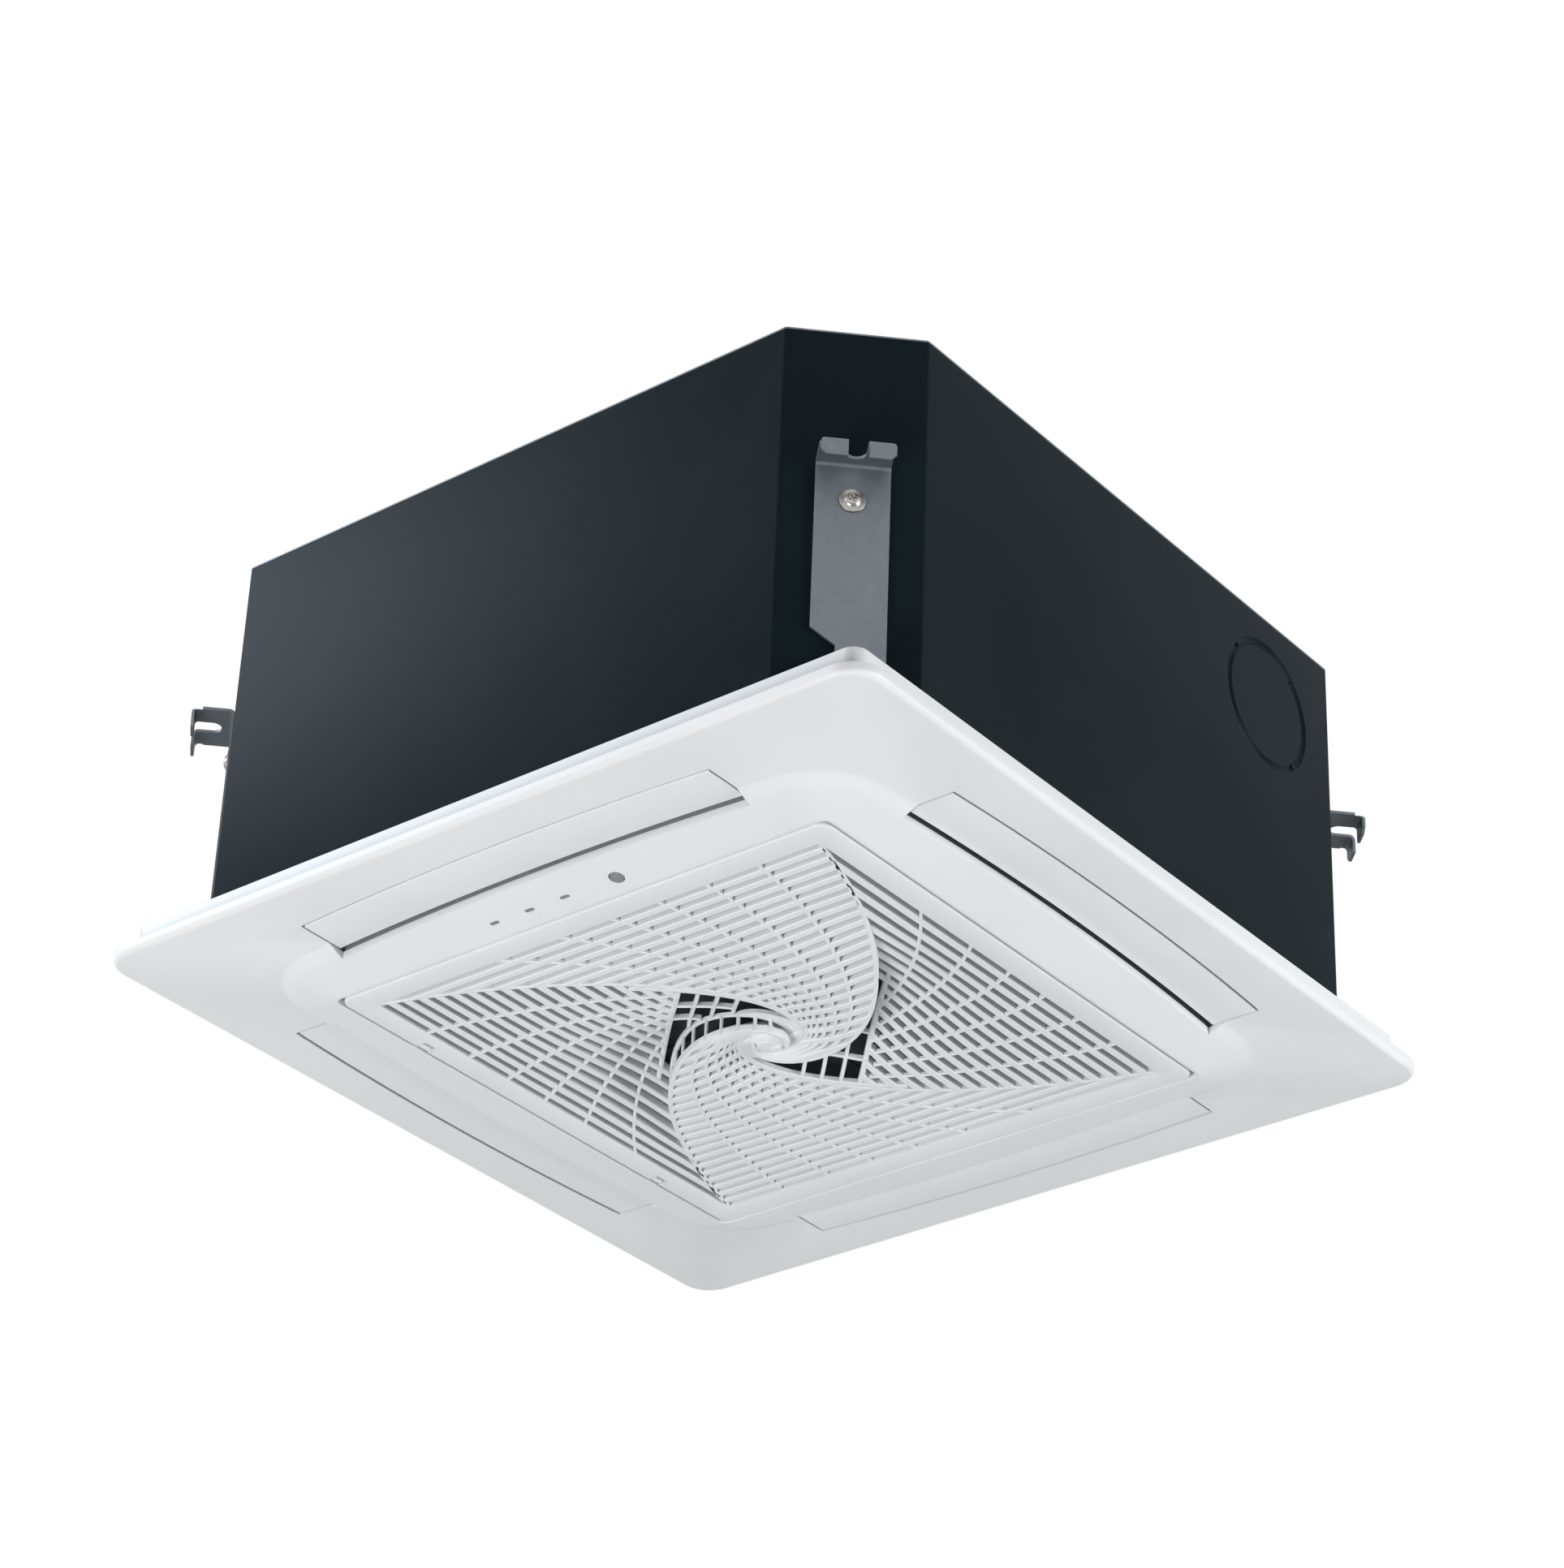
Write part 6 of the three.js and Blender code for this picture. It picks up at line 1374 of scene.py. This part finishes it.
# %% Drain socket and cable gland
WALL_X = BODY_HALF + 0.3
SOCKET_BORE, SOCKET_RADIUS, SOCKET_FLANGE, SOCKET_RIDGE = 11, 16, 22, 17
SOCKET_LENGTH = 28
GLAND_BORE, GLAND_THREAD, GLAND_FLANGE, GLAND_NUT = 4, 8, 12, 10.4
GLAND_LENGTH = 14
socket_profile = [
    (SOCKET_BORE, -10.1), (SOCKET_RADIUS, -10.1), (SOCKET_RADIUS, 0), (SOCKET_FLANGE, 0),
    (SOCKET_FLANGE, 1.6), (SOCKET_FLANGE - 0.4, 2), (SOCKET_RADIUS + 0.4, 2),
    (SOCKET_RADIUS, 2.4), (SOCKET_RADIUS, 8), (SOCKET_RIDGE, 8.6), (SOCKET_RIDGE, 10.4),
    (SOCKET_RADIUS, 11), (SOCKET_RADIUS, SOCKET_LENGTH - 0.8),
    (SOCKET_RADIUS - 0.8, SOCKET_LENGTH), (SOCKET_BORE + 0.6, SOCKET_LENGTH),
    (SOCKET_BORE, SOCKET_LENGTH - 0.6),
]
gland_profile = [
    (GLAND_BORE, -8.3), (GLAND_THREAD, -8.3), (GLAND_THREAD, 0), (GLAND_FLANGE, 0),
    (GLAND_FLANGE, 4.6), (GLAND_FLANGE - 0.4, 5), (GLAND_NUT, 5.2), (GLAND_NUT, 10),
    (GLAND_NUT - 0.8, 12.6), (7, GLAND_LENGTH), (GLAND_BORE, GLAND_LENGTH),
]


def fitting(profile, y, z):
    return turned_x([(radius, WALL_X + x) for radius, x in profile], y, z, looped=True)


piece("drain_socket", [fitting(socket_profile, DRAIN_Y, DRAIN_Z)], "black_plastic", "unit",
      ["drain_outlet"])
rib = box(WALL_X + 5.2, WALL_X + 10.5, -0.5, 0.5, GLAND_NUT - 0.6, GLAND_NUT + 0.8)
gland_shells = [fitting(gland_profile, GLAND_Y, GLAND_Z)]
for i in range(12):
    rib_place = Matrix.Translation((0, GLAND_Y, GLAND_Z)) @ Matrix.Rotation(i * QUARTER / 3, 4, "X")
    gland_shells.append(moved(rib, rib_place))
piece("gland_body", gland_shells, "black_plastic", "unit", ["cable_gland"])

# %% [markdown]
# ## The bell mouth
# When the grille hangs open, the filter goes with it, and one looks up through the bell mouth
# into the fan. It is a square plate whose hole is drawn up into a round throat. The throat's two
# skins are a quarter of an oval, turned round the axis of the fan.

# %% Bell mouth
MOUTH_BOTTOM, MOUTH_TOP = 45.5, 48
THROAT_RADIUS, MOUTH_RADIUS = 118.5, 150
MOUTH_RISE = 42.5
INNER_SKIN, OUTER_SKIN = 0.3, 2.2
MOUTH_PLATE_HALF, MOUTH_PLATE_CORNER = 196, 32


def throat(skin):
    """A skin of the throat, at a distance from the drawn oval."""
    points = []
    for angle in spread(0, QUARTER, 16):
        radius = THROAT_RADIUS + (MOUTH_RADIUS - THROAT_RADIUS) * (1 - math.sin(angle))
        height = MOUTH_BOTTOM + MOUTH_RISE * (1 - math.cos(angle))
        points.append((radius + skin * math.sin(angle), height + skin * math.cos(angle)))
    return points


brim = MOUTH_RADIUS + 8
mouth_profile = [(brim, MOUTH_BOTTOM + INNER_SKIN), *throat(INNER_SKIN)]
mouth_profile += [*reversed(throat(OUTER_SKIN)), (brim, MOUTH_BOTTOM + OUTER_SKIN)]
plate_ends = (MOUTH_BOTTOM, MOUTH_TOP)
plate_size = (MOUTH_PLATE_HALF, MOUTH_PLATE_CORNER)
mouth_plate = loft([rounded_square(*plate_size, z, side_steps=12) for z in plate_ends])
plate_hole = bored(brim - 1, MOUTH_BOTTOM - 5.5, MOUTH_TOP + 12)
mouth_plate = cut_mesh("mouth_plate", mouth_plate, [plate_hole])
piece("bell_mouth_ring", [turned(mouth_profile, 96, looped=True)], "grey_plastic", "unit",
      ["bell_mouth"])
piece("bell_mouth_plate", mouth_plate, "grey_plastic", "unit")

# %% [markdown]
# ## The turbo fan
# The fan has seven swept blades between a cone-shaped back plate and a shroud ring. The plate and
# the ring are turned, and a blade is a loft of one aerofoil through five heights, placed seven
# times.

# %% Turbo fan
FAN_RADIUS = 166
FAN_BLADES = 7
FAN_SHEET = 2.5
FAN_TOP = 216
FAN_BOTTOM = 84
PLATE_UNDER = FAN_TOP - FAN_SHEET
HUB_BORE, HUB_SLEEVE = 5.3, 12
HUB_BOTTOM, HUB_WEB, HUB_TOP = 150, 160, 176
SHROUD_INNER, SHROUD_RADIUS, SHROUD_RISE = 125, 127.5, 18.5
BLADE_HEIGHTS = (103, 130, 160, 190, 214)
BLADE_ROOT, BLADE_SWEEP, BLADE_THICKNESS = 0.57, 0.55, 3.2
back_profile = [
    (HUB_BORE, HUB_BOTTOM), (HUB_SLEEVE - 0.6, HUB_BOTTOM), (HUB_SLEEVE, HUB_BOTTOM + 0.6),
    (HUB_SLEEVE, HUB_WEB), (30, HUB_WEB), (34, HUB_WEB + 1.8), (84, PLATE_UNDER - 2.1),
    (90, PLATE_UNDER), (FAN_RADIUS - 0.6, PLATE_UNDER), (FAN_RADIUS, PLATE_UNDER + 0.5),
    (FAN_RADIUS, FAN_TOP - 0.6), (FAN_RADIUS - 0.6, FAN_TOP), (86, FAN_TOP),
    (82, FAN_TOP - 2.4), (29, HUB_WEB + FAN_SHEET), (HUB_SLEEVE, HUB_WEB + FAN_SHEET),
    (HUB_SLEEVE, HUB_TOP), (HUB_BORE, HUB_TOP),
]
outer_shroud, inner_shroud = [], []
for t in spread(0, 1, 12):
    radius = SHROUD_RADIUS + (FAN_RADIUS - SHROUD_RADIUS) * t ** 1.6
    height = FAN_BOTTOM + SHROUD_RISE * (1 - (1 - t) ** 2.2)
    outer_shroud.append((radius, height))
    inner_shroud.append((radius - 2.2 * (1 - t), height + FAN_SHEET * t))
shroud_profile = [(SHROUD_INNER, FAN_BOTTOM), *outer_shroud, *reversed(inner_shroud)]


def blade_outline(height):
    """A swept aerofoil from its root radius to its tip."""
    front, back = [], []
    for t in spread(0, 1, 16):
        radius = FAN_RADIUS * BLADE_ROOT + (FAN_RADIUS * (1 - BLADE_ROOT) - 3) * t
        middle = -BLADE_SWEEP * t
        fullness = math.sqrt(max(math.sin(math.pi * (0.06 + 0.9 * t)), 0.05))
        half = BLADE_THICKNESS * fullness / radius
        for outline, angle in ((front, middle + half), (back, middle - half)):
            outline.append((radius * math.cos(angle), radius * math.sin(angle), height))
    return front + list(reversed(back))


blade = loft([blade_outline(z) for z in BLADE_HEIGHTS])
fan_shells = [turned(profile, 96, looped=True) for profile in (back_profile, shroud_profile)]
for i in range(FAN_BLADES):
    fan_shells.append(moved(blade, Matrix.Rotation(i * 2 * math.pi / FAN_BLADES, 4, "Z")))
piece("fan_wheel", fan_shells, "grey_plastic", "fan", ["turbo_fan"])
print(FAN_BLADES, "blades,", 2 * FAN_RADIUS, "mm across")
